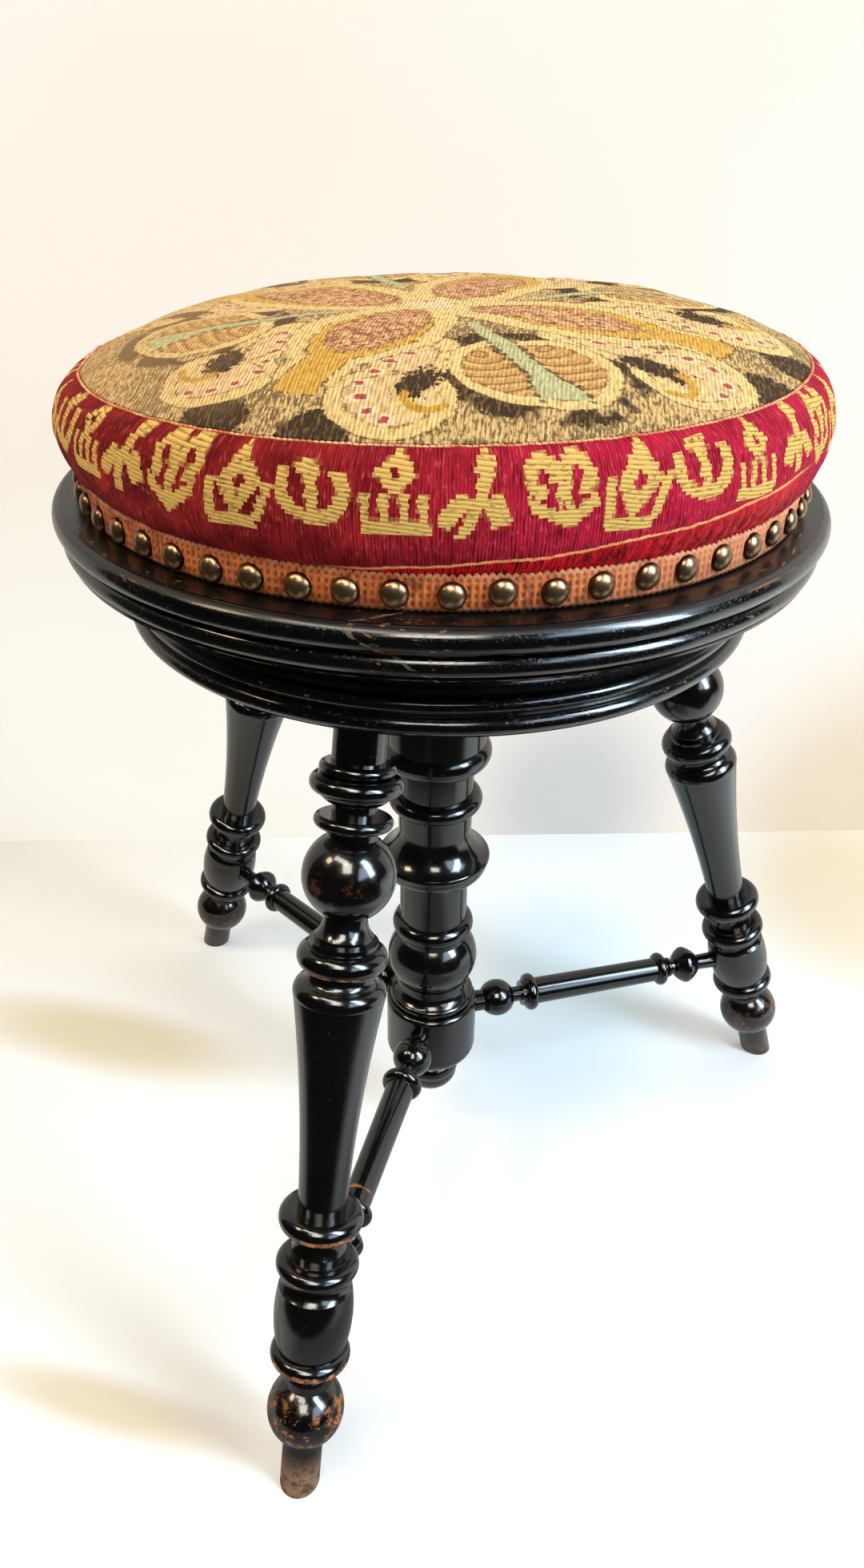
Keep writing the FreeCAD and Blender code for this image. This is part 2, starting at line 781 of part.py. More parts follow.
# The fixed top
top_foot = bead_foot("top_radius", "top_low_bead_thickness")
top_groove = bead_foot("top_high_bead_radius", "top_high_bead_thickness")
top_below_rim = [
    line("top_fillet_length", top_foot),
    rounding("top_radius", "top_low_bead_thickness"),
    step_to(top_groove),
    line("top_groove_length", top_groove),
    rounding("top_high_bead_radius", "top_high_bead_thickness"),
    hollow("top_cove_length", "top_cove_radius", "top_cove_hollow"),
]
top_rim_length = "top_thickness - (%s)" % total_rise(top_below_rim)
top_steps = top_below_rim + [line(top_rim_length, "top_cove_radius")]
fixed_top = turned("fixed_top", top_foot, top_steps)
underside = value("-overrun")
bore(
    fixed_top,
    "fixed_top_column_hole",
    "column_tenon_radius + glue_gap",
    "column_tenon_length + tenon_end_gap + overrun",
    at(underside),
)
bore(
    fixed_top,
    "fixed_top_hub_hole",
    "nut_hub_radius + glue_gap",
    "top_thickness + 2 * overrun",
    at(underside),
)
bore(
    fixed_top,
    "fixed_top_nut_recess",
    "nut_flange_radius + glue_gap",
    "nut_flange_thickness + overrun",
    at(value("top_thickness - nut_flange_thickness")),
)
for side, azimuth in zip(side_names, azimuths):
    # Up the leg's own axis, from below the underside to just past the leg's end
    foot = turned_to(azimuth) * moved(value("foot_circle_radius"), -top_underside) * tilted(-splay)
    start = value("%s - leg_top_shaft_radius * tan(leg_splay) - overrun" % leg_to_underside)
    depth = value("%s + tenon_end_gap" % leg_end) - start
    mortise = foot * moved(0, start)
    bore(fixed_top, "fixed_top_mortise_" + side, "leg_top_shaft_radius + glue_gap", "%r" % depth, mortise)

# Wood screws, made point down along +Z from the head

def wood_screw(name, length):
    """A countersunk wood screw. Its head is at Z = 0 and its point at the far end."""
    body = turned(
        name,
        "wood_screw_head_radius",
        [
            line("wood_screw_head_height", "wood_screw_radius"),
            line("%s - wood_screw_head_height - 2 * wood_screw_radius" % length, "wood_screw_radius"),
            line("2 * wood_screw_radius", "0"),
        ],
    )
    slot = body.newObject("PartDesign::SubtractiveBox", name + "_slot")
    bind(
        slot,
        Length="3 * wood_screw_head_radius",
        Width="wood_screw_slot_width",
        Height="wood_screw_slot_depth + overrun",
    )
    corner = value("1.5 * wood_screw_head_radius")
    half_slot = value("wood_screw_slot_width / 2")
    slot.Placement = FreeCAD.Placement(
        FreeCAD.Vector(-corner, -half_slot, -value("overrun")), FreeCAD.Rotation()
    )
    body.Tip = slot
    doc.recompute()
    return body


def pilot(body, name, length, place):
    """The hole that a wood screw bites in. Its mouth is at place."""
    back = FreeCAD.Placement(UP * value("-overrun"), FreeCAD.Rotation())
    return bore(
        body,
        name,
        "wood_screw_radius + glue_gap",
        "%s + tenon_end_gap + overrun" % length,
        place * back,
    )


# The nut, let in flush in the fixed top
nut = turned(
    "screw_nut",
    "nut_hub_radius",
    [
        line("nut_hub_length", "nut_hub_radius"),
        step_to("nut_flange_radius"),
        line("nut_flange_thickness", "nut_flange_radius"),
    ],
)
bore(
    nut,
    "screw_nut_bore",
    "thread_core_radius + thread_gap",
    "nut_hub_length + nut_flange_thickness + 2 * overrun",
    at(value("-overrun")),
)


def thread_profile(body, name, root_radius, depth, crest_width, root_width, height):
    """The section of one turn of thread, centred on a height of the body's own axis."""
    sketch = sketch_on(body, name, "XZ_Plane")
    inner = value(root_radius)
    outer = inner + value(depth)
    corners = [
        FreeCAD.Vector(inner, height - value(root_width) / 2, 0),
        FreeCAD.Vector(outer, height - value(crest_width) / 2, 0),
        FreeCAD.Vector(outer, height + value(crest_width) / 2, 0),
        FreeCAD.Vector(inner, height + value(root_width) / 2, 0),
    ]
    for index, corner in enumerate(corners):
        sketch.addGeometry(Part.LineSegment(corner, corners[(index + 1) % len(corners)]), False)
    for index in range(len(corners)):
        sketch.addConstraint(Sketcher.Constraint("Coincident", index, 2, (index + 1) % len(corners), 1))
    distances = [
        ("DistanceX", 0, 1, root_radius),
        ("DistanceX", 1, 1, "(%s) + (%s)" % (root_radius, depth)),
        ("DistanceY", 0, 1, "%r - (%s) / 2" % (height, root_width)),
        ("DistanceY", 1, 1, "%r - (%s) / 2" % (height, crest_width)),
        ("DistanceY", 2, 1, "%r + (%s) / 2" % (height, crest_width)),
        ("DistanceY", 3, 1, "%r + (%s) / 2" % (height, root_width)),
    ]
    for kind, index, end, text in distances:
        number = sketch.addConstraint(Sketcher.Constraint(kind, -1, 1, index, end, value(text)))
        sketch.setExpression("Constraints[%d]" % number, bound(text))
    sketch.addConstraint(Sketcher.Constraint("Vertical", 1))
    sketch.addConstraint(Sketcher.Constraint("Vertical", 3))
    doc.recompute()
    return sketch


def helix(body, kind, name, profile, rise):
    """A right-handed thread, added to a body or cut from it."""
    thread = body.newObject("PartDesign::" + kind, name)
    thread.Profile = profile
    thread.ReferenceAxis = (profile, ["V_Axis"])
    thread.Mode = "pitch-height-angle"
    bind(thread, Pitch="thread_lead", Height=rise)
    body.Tip = thread
    doc.recompute()
    return thread


# Both threads pass through the same spiral, so that the screw turns in its nut without touching
spindle_thread_start = value("screw_point_length + thread_root_width")
spiral_height = spindle_bottom + spindle_thread_start
below_nut = nut_bottom - value("thread_lead") - spiral_height
nut_thread_height = spiral_height + value("thread_lead") * math.floor(below_nut / value("thread_lead"))
nut_profile = thread_profile(
    nut,
    "screw_nut_thread_section",
    "thread_core_radius - thread_gap",
    "thread_depth + 2 * thread_gap",
    "thread_crest_width + 2 * thread_gap",
    "thread_root_width + 3 * thread_gap",
    nut_thread_height - nut_bottom,
)
nut_thread_rise = "nut_hub_length + nut_flange_thickness + 3 * thread_lead"
helix(nut, "SubtractiveHelix", "screw_nut_thread", nut_profile, nut_thread_rise)
nut_top_places = ring_places(
    int(value("nut_screw_count")), value("nut_screw_circle_radius"), value("stand_height"), flip=True
)
to_nut = at(-nut_bottom)
to_top = at(-top_underside)
for index, place in enumerate(nut_top_places):
    pilot(nut, "screw_nut_hole_%d" % index, "nut_flange_thickness", to_nut * place)
    countersink(nut, "screw_nut_countersink_%d" % index, to_nut * place)
    pilot(fixed_top, "fixed_top_pilot_%d" % index, "nut_screw_length", to_top * place)
nut.Placement = at(nut_bottom)
keep("screw_nut", nut)
fixed_top.Placement = at(top_underside)
keep("fixed_top", fixed_top)
group("nut_screws", wood_screw("nut_screw_master", "nut_screw_length"), nut_top_places)

# The iron spindle, riveted over its flange
# A plain neck under the flange, as long as the gap there, holds the jam washer above the thread
spindle_steps = [
    line("screw_point_length", "thread_core_radius"),
    line("%s - screw_point_length" % spindle_length, "thread_core_radius"),
    step_to("screw_rivet_radius"),
    line("flange_thickness", "screw_rivet_radius"),
    step_to("screw_head_radius"),
    line("screw_head_thickness", "screw_head_radius"),
]
spindle = turned("screw_spindle", "screw_point_radius", spindle_steps)
spindle_profile = thread_profile(
    spindle,
    "screw_spindle_thread_section",
    "thread_core_radius - thread_gap",
    "thread_depth + thread_gap",
    "thread_crest_width",
    "thread_root_width",
    spindle_thread_start,
)
spindle_thread_rise = "%s - seat_gap - thread_root_width / 2 - %r" % (
    spindle_length,
    spindle_thread_start,
)
helix(spindle, "AdditiveHelix", "screw_spindle_thread", spindle_profile, spindle_thread_rise)
spindle.Placement = at(spindle_bottom)
keep("screw_spindle", spindle)

# The leather washer that keeps the seat from jamming, held on the spindle's plain neck
washer_steps = [line("seat_gap - 2 * washer_gap", "washer_radius")]
washer = turned("jam_washer", "washer_radius", washer_steps)
bore(
    washer,
    "jam_washer_hole",
    "thread_core_radius + washer_gap",
    "seat_gap + 2 * overrun",
    at(value("-overrun")),
)
washer.Placement = at(value("stand_height + washer_gap"))
keep("jam_washer", washer)

# The spindle's flange, let in flush under the seat board
flange = turned("spindle_flange", "flange_radius", [line("flange_thickness", "flange_radius")])
bore(
    flange,
    "spindle_flange_hole",
    "screw_rivet_radius + glue_gap",
    "flange_thickness + 2 * overrun",
    at(value("-overrun")),
)
flange_places = ring_places(
    int(value("flange_screw_count")), value("flange_screw_circle_radius"), seat_underside
)
to_seat = at(-seat_underside)
for index, place in enumerate(flange_places):
    pilot(flange, "spindle_flange_hole_%d" % index, "flange_thickness", to_seat * place)
    countersink(flange, "spindle_flange_countersink_%d" % index, to_seat * place)
flange.Placement = at(seat_underside)
keep("spindle_flange", flange)
group("flange_screws", wood_screw("flange_screw_master", "flange_screw_length"), flange_places)

# The seat board
board_steps = [
    hollow("board_cove_length", "board_cove_radius", "board_cove_hollow"),
    step_to("board_fillet_radius"),
    line("board_fillet_length", "board_fillet_radius"),
    *bead("board_low_bead_radius", "board_low_bead_thickness"),
    line("board_groove_length", bead_foot("board_low_bead_radius", "board_low_bead_thickness")),
    *bead("board_radius", "board_nose_thickness"),
    line("board_rim_length", bead_foot("board_radius", "board_nose_thickness")),
]
board_thickness = total_rise(board_steps)
board = turned("seat_board", "board_foot_radius", board_steps)
bore(
    board,
    "seat_board_flange_recess",
    "flange_radius + glue_gap",
    "flange_thickness + overrun",
    at(value("-overrun")),
)
bore(
    board,
    "seat_board_rivet_recess",
    "screw_head_radius + tenon_end_gap",
    "flange_thickness + screw_head_thickness + tenon_end_gap + overrun",
    at(value("-overrun")),
)
for index, place in enumerate(flange_places):
    pilot(board, "seat_board_pilot_%d" % index, "flange_screw_length", to_seat * place)
base_screw_places = ring_places(
    int(value("base_screw_count")),
    value("base_screw_circle_radius"),
    seat_underside + value("base_screw_sink"),
)
sink = "base_screw_sink + overrun"
for index, place in enumerate(base_screw_places):
    well = place * at(-value(sink))
    bore(board, "seat_board_well_%d" % index, "wood_screw_head_radius + glue_gap", sink, to_seat * well)
    countersink(board, "seat_board_countersink_%d" % index, to_seat * place)
    pilot(board, "seat_board_hole_%d" % index, board_thickness, to_seat * place)
board.Placement = at(seat_underside)
keep("seat_board", board)

# The pine base that the upholstery is nailed to, screwed on from below
board_top = value("stand_height + seat_gap + " + board_thickness)
base = turned("pad_base", "base_radius", [line("base_thickness", "base_radius")])
for index, place in enumerate(base_screw_places):
    pilot(base, "pad_base_pilot_%d" % index, "base_screw_length", at(-board_top) * place)
base.Placement = at(board_top)
keep("pad_base", base)
group("base_screws", wood_screw("base_screw_master", "base_screw_length"), base_screw_places)

# The crowned upholstery: a hair stuffing, a linen lining and a tapestry cover with a border


def layer(name, inset, floor_gap):
    """A crowned pad of revolution that lies inset within the outer face of the cover."""
    edge = "cushion_edge_radius - (%s)" % inset
    foot = "cushion_foot_radius - (%s)" % inset
    side = "cushion_side_height - (%s) - (%s)" % (inset, floor_gap)
    steps = [
        swell(side, edge, "cushion_side_swell"),
        dome("cushion_crown"),
    ]
    return turned(name, foot, steps)


pad_bottom = board_top + value("base_thickness")
lining_inset = "cover_thickness + soft_gap"
lining_inner_inset = "%s + lining_thickness" % lining_inset
stuffing_inset = "%s + soft_gap" % lining_inner_inset

stuffing = layer("stuffing", stuffing_inset, "soft_gap")
stuffing.Placement = at(pad_bottom + value("soft_gap"))
keep("stuffing", stuffing)


def shell(name, outer_inset, inner_inset, outer_floor, inner_floor):
    """What lies between two layers, as one thin cap."""
    outer = layer(name + "_outer", outer_inset, outer_floor)
    outer.Placement = at(pad_bottom + value(outer_floor))
    inner = layer(name + "_inner", inner_inset, "0")
    inner.Placement = at(pad_bottom + value(inner_floor))
    cap = doc.addObject("Part::Cut", name)
    cap.Base = outer
    cap.Tool = inner
    doc.recompute()
    return cap


keep("lining", shell("lining", lining_inset, lining_inner_inset, "soft_gap", "0"))

cover = shell("cover", "0", "cover_thickness", "0", "0")
seam_radius = "cushion_edge_radius"
seam_cut = doc.addObject("Part::Cylinder", "seam_cut")
bind(seam_cut, Radius=seam_radius, Height="cushion_side_height + cushion_crown")
seam_cut.Placement = at(pad_bottom + value("cushion_side_height / 2"))
doc.recompute()
cover_top = doc.addObject("Part::Common", "cover_top")
cover_top.Base = cover
cover_top.Tool = seam_cut
keep("cover_top", cover_top)

cover_side = doc.addObject("Part::Cut", "cover_side")
cover_side.Base = cover
cover_side.Tool = seam_cut
# The border's lower edge turns down over the edge of the base, under the gimp
hem_outer = doc.addObject("Part::Cylinder", "hem_outer")
bind(hem_outer, Radius="cushion_foot_radius", Height="base_thickness - gimp_lift")
hem_inner = doc.addObject("Part::Cylinder", "hem_inner")
bind(hem_inner, Radius="cushion_foot_radius - cover_thickness", Height="base_thickness")
for hem in (hem_outer, hem_inner):
    hem.Placement = at(board_top + value("gimp_lift"))
hem_ring = doc.addObject("Part::Cut", "hem_ring")
hem_ring.Base = hem_outer
hem_ring.Tool = hem_inner
cover_border = doc.addObject("Part::Fuse", "cover_border")
cover_border.Base = cover_side
cover_border.Tool = hem_ring
cover_border.Refine = True
doc.recompute()
keep("cover_border", cover_border)

# The gimp and its dome nails
gimp_inner_radius = "cushion_foot_radius + soft_gap"
gimp_outer_radius = "%s + gimp_thickness" % gimp_inner_radius
gimp = turned("gimp_band", gimp_outer_radius, [line("gimp_height", gimp_outer_radius)])
bore(
    gimp,
    "gimp_band_inside",
    gimp_inner_radius,
    "gimp_height + 2 * overrun",
    at(value("-overrun")),
)
gimp.Placement = at(board_top + value("gimp_lift"))
keep("gimp_band", gimp)

nail_steps = [
    line("nail_shank_length", "nail_shank_radius"),
    step_to("nail_head_radius"),
    dome("nail_head_height"),
]
nail = turned("nail_master", "nail_shank_radius", nail_steps)
nail_middle = board_top + value("gimp_lift + gimp_height / 2")
nail_start = value("%s - nail_shank_length" % gimp_outer_radius)
nail_count = int(value("nail_count"))
nail_azimuth = value("nail_azimuth")
nail_places = [
    turned_to(nail_azimuth + FULL_TURN * index / nail_count) * moved(nail_start, nail_middle) * level_out
    for index in range(nail_count)
]
group("dome_nails", nail, nail_places)

# Check the document, then write each sub-part
doc.recompute()
for item in doc.Objects:
    if "Invalid" in item.State or "Error" in item.State:
        raise RuntimeError("%s failed: %s" % (item.Name, item.State))
os.makedirs("parts", exist_ok=True)
for name, piece in parts.items():
    shape = piece.Shape
    if shape.isNull() or not shape.isValid() or not shape.Solids:
        raise RuntimeError("%s has no valid solid" % name)
    shape.exportStep("parts/%s.step" % name)
    box = shape.BoundBox
    print(
        "%-18s %2d solid(s) %10.0f mm3  x %7.1f %7.1f  y %7.1f %7.1f  z %6.1f %6.1f"
        % (
            name,
            len(shape.Solids),
            shape.Volume,
            box.XMin,
            box.XMax,
            box.YMin,
            box.YMax,
            box.ZMin,
            box.ZMax,
        )
    )
print("thread lead", value("thread_lead"), "rise", value("screw_rise"), "stretchers at", stretcher_level)
print("board top", board_top, "pad bottom", pad_bottom, "crown", pad_bottom + value("cushion_side_height + cushion_crown"))
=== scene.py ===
# %% [markdown]
# # An ebonised screw stool
# Three turned legs, a column and two moulded discs in black lacquer carry a round seat of old
# tapestry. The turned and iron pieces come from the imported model. This lesson dresses them, and
# makes what a lathe can't: the cushion, its seam, the braid and the nails. Everything is in
# metres, with the floor at z = 0 and the screw on the z axis.

import math
import random

import bmesh
import bpy
from mathutils import Matrix, Vector
from mathutils import noise as fields


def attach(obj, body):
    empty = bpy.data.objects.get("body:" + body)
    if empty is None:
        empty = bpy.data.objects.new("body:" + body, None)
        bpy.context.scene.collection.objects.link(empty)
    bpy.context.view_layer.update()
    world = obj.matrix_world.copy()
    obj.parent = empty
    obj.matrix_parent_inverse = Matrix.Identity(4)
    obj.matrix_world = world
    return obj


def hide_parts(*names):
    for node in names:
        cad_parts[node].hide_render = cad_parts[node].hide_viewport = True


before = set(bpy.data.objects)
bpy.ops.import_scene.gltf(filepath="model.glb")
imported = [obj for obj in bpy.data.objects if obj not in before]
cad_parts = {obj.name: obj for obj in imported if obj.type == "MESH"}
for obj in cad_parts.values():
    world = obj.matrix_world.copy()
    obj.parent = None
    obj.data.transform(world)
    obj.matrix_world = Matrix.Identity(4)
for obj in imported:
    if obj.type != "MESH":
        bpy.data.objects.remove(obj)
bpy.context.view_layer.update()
MM = 0.001


def add(name, data):
    """A new object in the scene."""
    piece = bpy.data.objects.new(name, data)
    bpy.context.collection.objects.link(piece)
    return piece


# %% [markdown]
# ## Shader maths as plain arithmetic
# A finish is mostly sums on masks: how near a point is to an edge, how worn that edge is. A small
# class wraps a socket, so that `1 - worn * 0.5` adds the Math nodes itself. Every node comes from
# one method, which sets a node's settings first, because they decide which sockets it shows.


# %% Sockets that can be reckoned with
class Value:
    def __init__(self, finish, socket):
        self.finish = finish
        self.socket = socket

    def math(self, operation, *others):
        return self.finish.node("ShaderNodeMath", {"operation": operation}, self, *others)

    def __add__(self, other):
        return self.math("ADD", other)

    def __sub__(self, other):
        return self.math("SUBTRACT", other)

    def __rsub__(self, other):
        return self * -1 + other

    def __mul__(self, other):
        return self.math("MULTIPLY", other)

    def __truediv__(self, other):
        return self.math("DIVIDE", other)

    def __neg__(self):
        return self * -1

    def __abs__(self):
        return self.math("ABSOLUTE")

    __radd__ = __add__
    __rmul__ = __mul__


# %% A finish and its nodes
class Finish:
    def __init__(self, name, owner=None):
        self.owner = owner or bpy.data.materials.new(name)
        self.owner.use_nodes = True
        self.tree = self.owner.node_tree
        self.tree.nodes.clear()

    def node(self, kind, settings, *values, out=0, **named):
        """A node's output: its settings first, then values or links for its sockets."""
        made = self.tree.nodes.new(kind)
        for key, setting in settings.items():
            setattr(made, key, setting)
        sockets = [socket for socket in made.inputs if socket.enabled]
        by_name = {socket.name: socket for socket in sockets}
        pairs = list(zip(sockets, values))
        pairs += [(by_name[key.replace("_", " ")], given) for key, given in named.items()]
        for socket, given in pairs:
            if isinstance(given, Value):
                self.tree.links.new(given.socket, socket)
            else:
                socket.default_value = given
        outputs = [socket for socket in made.outputs if socket.enabled]
        return Value(self, outputs[out]) if outputs else None

    def place(self):
        """The x, y and z of a point in the stool's frame, in millimetres."""
        here = self.node("ShaderNodeTexCoord", {}, out=3)
        self.here = self.node("ShaderNodeVectorMath", {"operation": "SCALE"}, here, Scale=1000)
        return [self.node("ShaderNodeSeparateXYZ", {}, self.here, out=axis) for axis in range(3)]

    def vector(self, x, y, z):
        return self.node("ShaderNodeCombineXYZ", {}, x, y, z)

    def speckle(self, size, detail=2, at=None):
        """Soft noise from 0 to 1, with spots about as large as size in millimetres."""
        where = self.vector(*at) if at else self.here
        return self.node("ShaderNodeTexNoise", {}, Vector=where, Scale=1 / size, Detail=detail)

    def bump(self, height, strength, distance):
        return self.node("ShaderNodeBump", {}, Height=height, Strength=strength, Distance=distance)

    def surface(self, **sockets):
        shader = self.node("ShaderNodeBsdfPrincipled", {}, **sockets)
        self.node("ShaderNodeOutputMaterial", {}, shader)
        return self.owner


def light(colour):
    """A colour in the linear light that Blender uses. Three parts are from 0 to 255, as a paint
    chart gives them, and four are linear already."""
    if len(colour) == 4:
        return colour
    shares = [part / 255 for part in colour]
    return (*[s / 12.92 if s <= 0.04045 else ((s + 0.055) / 1.055) ** 2.4 for s in shares], 1)


def ramp(value, start, end):
    """0 up to start, 1 from end, and smooth between."""
    smooth = {"interpolation_type": "SMOOTHSTEP"}
    return value.finish.node("ShaderNodeMapRange", smooth, value, start, end, 0, 1)


def mix(mask, colour, other):
    """The first colour where the mask is 0 and the other where it is 1."""
    colours = [light(part) if isinstance(part, tuple) else part for part in (colour, other)]
    return mask.finish.node("ShaderNodeMix", {"data_type": "RGBA"}, mask, *colours)


def wave(phase):
    """From 0 to 1 and back, once in every full turn of the phase."""
    return phase.math("SINE") * 0.5 + 0.5


def length(*sides):
    """How long a vector with these sides is."""
    first, *others = [side * side for side in sides]
    return sum(others, first).math("SQRT")


def both(mask, *others):
    for other in others:
        mask = mask.math("MINIMUM", other)
    return mask


def either(mask, *others):
    for other in others:
        mask = mask.math("MAXIMUM", other)
    return mask


def painted(colour, *coats):
    """A colour under coats of others, each with the mask that says where it lies."""
    for mask, other in coats:
        colour = mix(mask, colour, other)
    return colour


print("a black lacquer in linear light:", [round(part, 4) for part in light((16, 14, 13))])

# %% [markdown]
# ## Ebonised wood
# The wood was stained black and polished. Boots and hands have gone through that skin where a
# ring stands proud, and the brown wood shows in thin broken lines. A mask reckoned from the
# distance along the piece stays sharp there: each ring gives a band, and noise breaks it up.


# %% The black skin and the wood under it
def ebonised(finish, worn, scuffed, bare=None, dull=0.0, crazed=0.0):
    """Black polish over wood. worn bares the wood, scuffed greys the polish, dull takes its
    gloss, and crazed roughens it."""
    grain = finish.speckle(0.9, detail=3, at=finish.streaks)
    cloud = finish.speckle(22, detail=3)
    black = mix(cloud, (3, 3, 3), (10, 9, 9))
    wood = bare or mix(grain, (104, 56, 26), (204, 134, 74))
    specks = ramp(finish.speckle(1.7, detail=1), 0.71, 0.76) * 0.3
    skin = mix(either(ramp(scuffed, 0.2, 1), specks), black, (82, 70, 58))
    dust = finish.speckle(3.4, detail=4)
    relief = finish.bump(dust * 0.5 + grain * 0.25 + crazed - worn * 0.9, 0.22, 0.0004)
    return finish.surface(
        Base_Color=mix(worn, skin, wood),
        Roughness=0.13 + cloud * 0.1 + worn * 0.34 + scuffed * 0.25 + dull * 0.17,
        Coat_Weight=0.75 - worn * 0.65 - dull * 0.35,
        Coat_Roughness=0.05,
        Normal=relief,
    )


def bands(along, places):
    """The sum of soft bands: each is a place, a half width and a strength."""
    total = 0.0
    for middle, half, strength in places:
        near = (1 - abs(along - middle) / half).math("MAXIMUM", 0)
        total = near * strength + total
    return total


def dress(finishes):
    """Gives turned and iron pieces of the model their finishes."""
    for node, material in finishes.items():
        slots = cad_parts[node].data.materials
        slots.clear()
        slots.append(material)


print("a worn edge is a band times noise")

# %% Legs: worn by feet, and bare at the tip
FOOT_CIRCLE = 244
SPLAY = math.radians(18.2)
LEGS = {"leg_front": (-90, 0.9), "leg_right": (30, 0.45), "leg_left": (150, 0.4)}
FOOT_BALL = 41
HIGH_BALL = 308
LOW_RINGS = [(148.6, 2.6, 2.0), (124.4, 2.2, 0.9), (132, 1.6, 0.7), (74.4, 3.6, 1.9)]
HIGH_RINGS = [(277.5, 2.4, 1.0), (264, 3, 0.5), (341, 2.4, 0.5), (357, 3, 0.5)]


def leg_finish(name, azimuth, wear):
    finish = Finish(name)
    x, y, z = finish.place()
    turn = math.radians(azimuth)
    outward = (math.cos(turn), math.sin(turn))
    reach = x * outward[0] + y * outward[1] - FOOT_CIRCLE
    along = z * math.cos(SPLAY) - reach * math.sin(SPLAY)
    lean = reach * math.cos(SPLAY) + z * math.sin(SPLAY)
    across = y * outward[0] - x * outward[1]
    finish.streaks = (lean, across, along * 0.08)
    patches = finish.speckle(5, detail=4)
    fine = finish.speckle(1.3)
    broad = finish.speckle(14)
    uneven = patches * 1.9 + fine * 0.7 + broad * 1.3 - 1.15
    edges = bands(along, LOW_RINGS + HIGH_RINGS) * wear * uneven
    blotch = patches + fine * 0.5 + broad * 0.5
    ball = ramp(abs(along - FOOT_BALL), 18, 9) * ramp(blotch, 0.95, 1.22)
    rubbed = ramp(abs(along - HIGH_BALL), 20, 8) * ramp(blotch, 1.05, 1.25)
    tip = ramp(along + patches * 24 + fine * 6, 38, 24)
    grey_wood = mix(ramp(fine * 0.5 + patches, 0.5, 0.95), (60, 42, 32), (168, 124, 90))
    orange_wood = mix(ramp(patches + fine * 0.6, 0.6, 1.1), (78, 40, 22), (206, 128, 66))
    worn = either(
        ramp(edges, 0.5, 0.9),
        rubbed * (wear * 0.12),
        ball * (wear * 1.2 - 0.3),
        tip * (wear * 1.3 - 0.35),
    )
    bare = mix(ramp(along, 30, 26), orange_wood, grey_wood)
    streaks = ramp(finish.speckle(2.4, detail=3, at=finish.streaks), 0.56, 0.74) * 0.2
    return ebonised(finish, worn, either(ramp(patches, 0.6, 0.9) * 0.25, streaks), bare=bare)


dress({node: leg_finish("lacquer_" + node, *leg) for node, leg in LEGS.items()})
print("legs dressed:", len(LEGS))


# %% Stretchers, column and finial
def turned_finish(name, rings, from_axis):
    """Lacquer worn at rings, placed along the stretchers or up the column, in millimetres."""
    finish = Finish(name)
    x, y, z = finish.place()
    reach = length(x, y)
    if from_axis:
        along, finish.streaks = reach, (reach * 0.08, z, reach * 0.02)
    else:
        along, finish.streaks = z, (x, y, z * 0.08)
    patches = finish.speckle(5, detail=4)
    fine = finish.speckle(1.3)
    edges = bands(along, rings) * (patches * 1.5 + fine * 0.5)
    return ebonised(finish, ramp(edges, 0.55, 0.85), ramp(patches, 0.6, 0.9) * 0.25)


STRETCHER_RINGS = [(161, 2.2, 0.5), (66, 2.5, 0.4), (110, 30, 0.25)]
COLUMN_RINGS = [(217, 3, 0.35), (253, 3, 0.3), (165, 3, 0.3), (286, 4, 0.3), (62, 3, 0.3)]
stretcher_lacquer = turned_finish("lacquer_stretchers", STRETCHER_RINGS, True)
kicked_lacquer = turned_finish("lacquer_front_stretcher", STRETCHER_RINGS + [(145, 3, 0.9)], True)
column_lacquer = turned_finish("lacquer_column", COLUMN_RINGS, False)
TURNED = {
    "stretcher_front": kicked_lacquer,
    "stretcher_right": stretcher_lacquer,
    "stretcher_left": stretcher_lacquer,
    "column": column_lacquer,
    "drop_finial": column_lacquer,
}
dress(TURNED)
print("turned pieces dressed:", len(TURNED))


# %% The two moulded discs
RIM_RADIUS = 170
SCRATCH_TURN = -1.487
SCRATCH_TOP = 429
BOARD_RINGS = [(431, 2, 0.7), (421, 1.6, 0.9), (411.5, 1.2, 0.8)]
FIXED_RINGS = [(375, 1.2, 0.8), (384, 1.2, 0.9), (393, 1.4, 0.6)]


def disc_finish(name, rings, flat_from):
    """Lacquer on a wide disc. Knocks run along its mouldings in thin broken lines."""
    finish = Finish(name)
    x, y, z = finish.place()
    reach = length(x, y)
    turn = y.math("ARCTAN2", x)
    run = turn * RIM_RADIUS
    finish.streaks = (x * 0.6, y * 0.08, z)
    patches = finish.speckle(6, detail=4)
    lines = finish.speckle(1.0, detail=3, at=(run * 0.07, reach * 0.9, z * 1.1))
    places = finish.speckle(34)
    edges = bands(z, rings) * (lines * 1.1 + patches * 0.5 + places * 0.8)
    knocks = finish.speckle(1.5, detail=3, at=(run * 0.3, run * 0.1 + z * 0.8, reach))
    worn = either(
        ramp(edges, 0.84, 0.96) * 0.6,
        both(ramp(knocks, 0.64, 0.7), ramp(places, 0.5, 0.6)) * 0.55,
    )
    # One long scratch slants down over the front
    down = SCRATCH_TOP - z + (175.5 - reach) * ramp(z, 427, SCRATCH_TOP)
    off_line = (turn - SCRATCH_TURN) * RIM_RADIUS - down * 1.62 + (patches - 0.5) * 3
    scratch = both(ramp(abs(off_line), 1.7, 0.7), ramp(abs(down - 5), 16, 13))
    scratch = scratch * ramp(knocks + lines * 0.5, 0.62, 0.78)
    worn = worn * ramp(reach, 138, 150)
    flat = ramp(z, flat_from, flat_from + 0.3)
    scuffed = either(ramp(patches, 0.55, 0.85) * 0.35, scratch)
    chips = ramp(finish.speckle(1.1), 0.6, 0.68) * places * 1.6
    return ebonised(finish, worn, scuffed, dull=flat, crazed=lines * 1.2 - chips * 2.2)


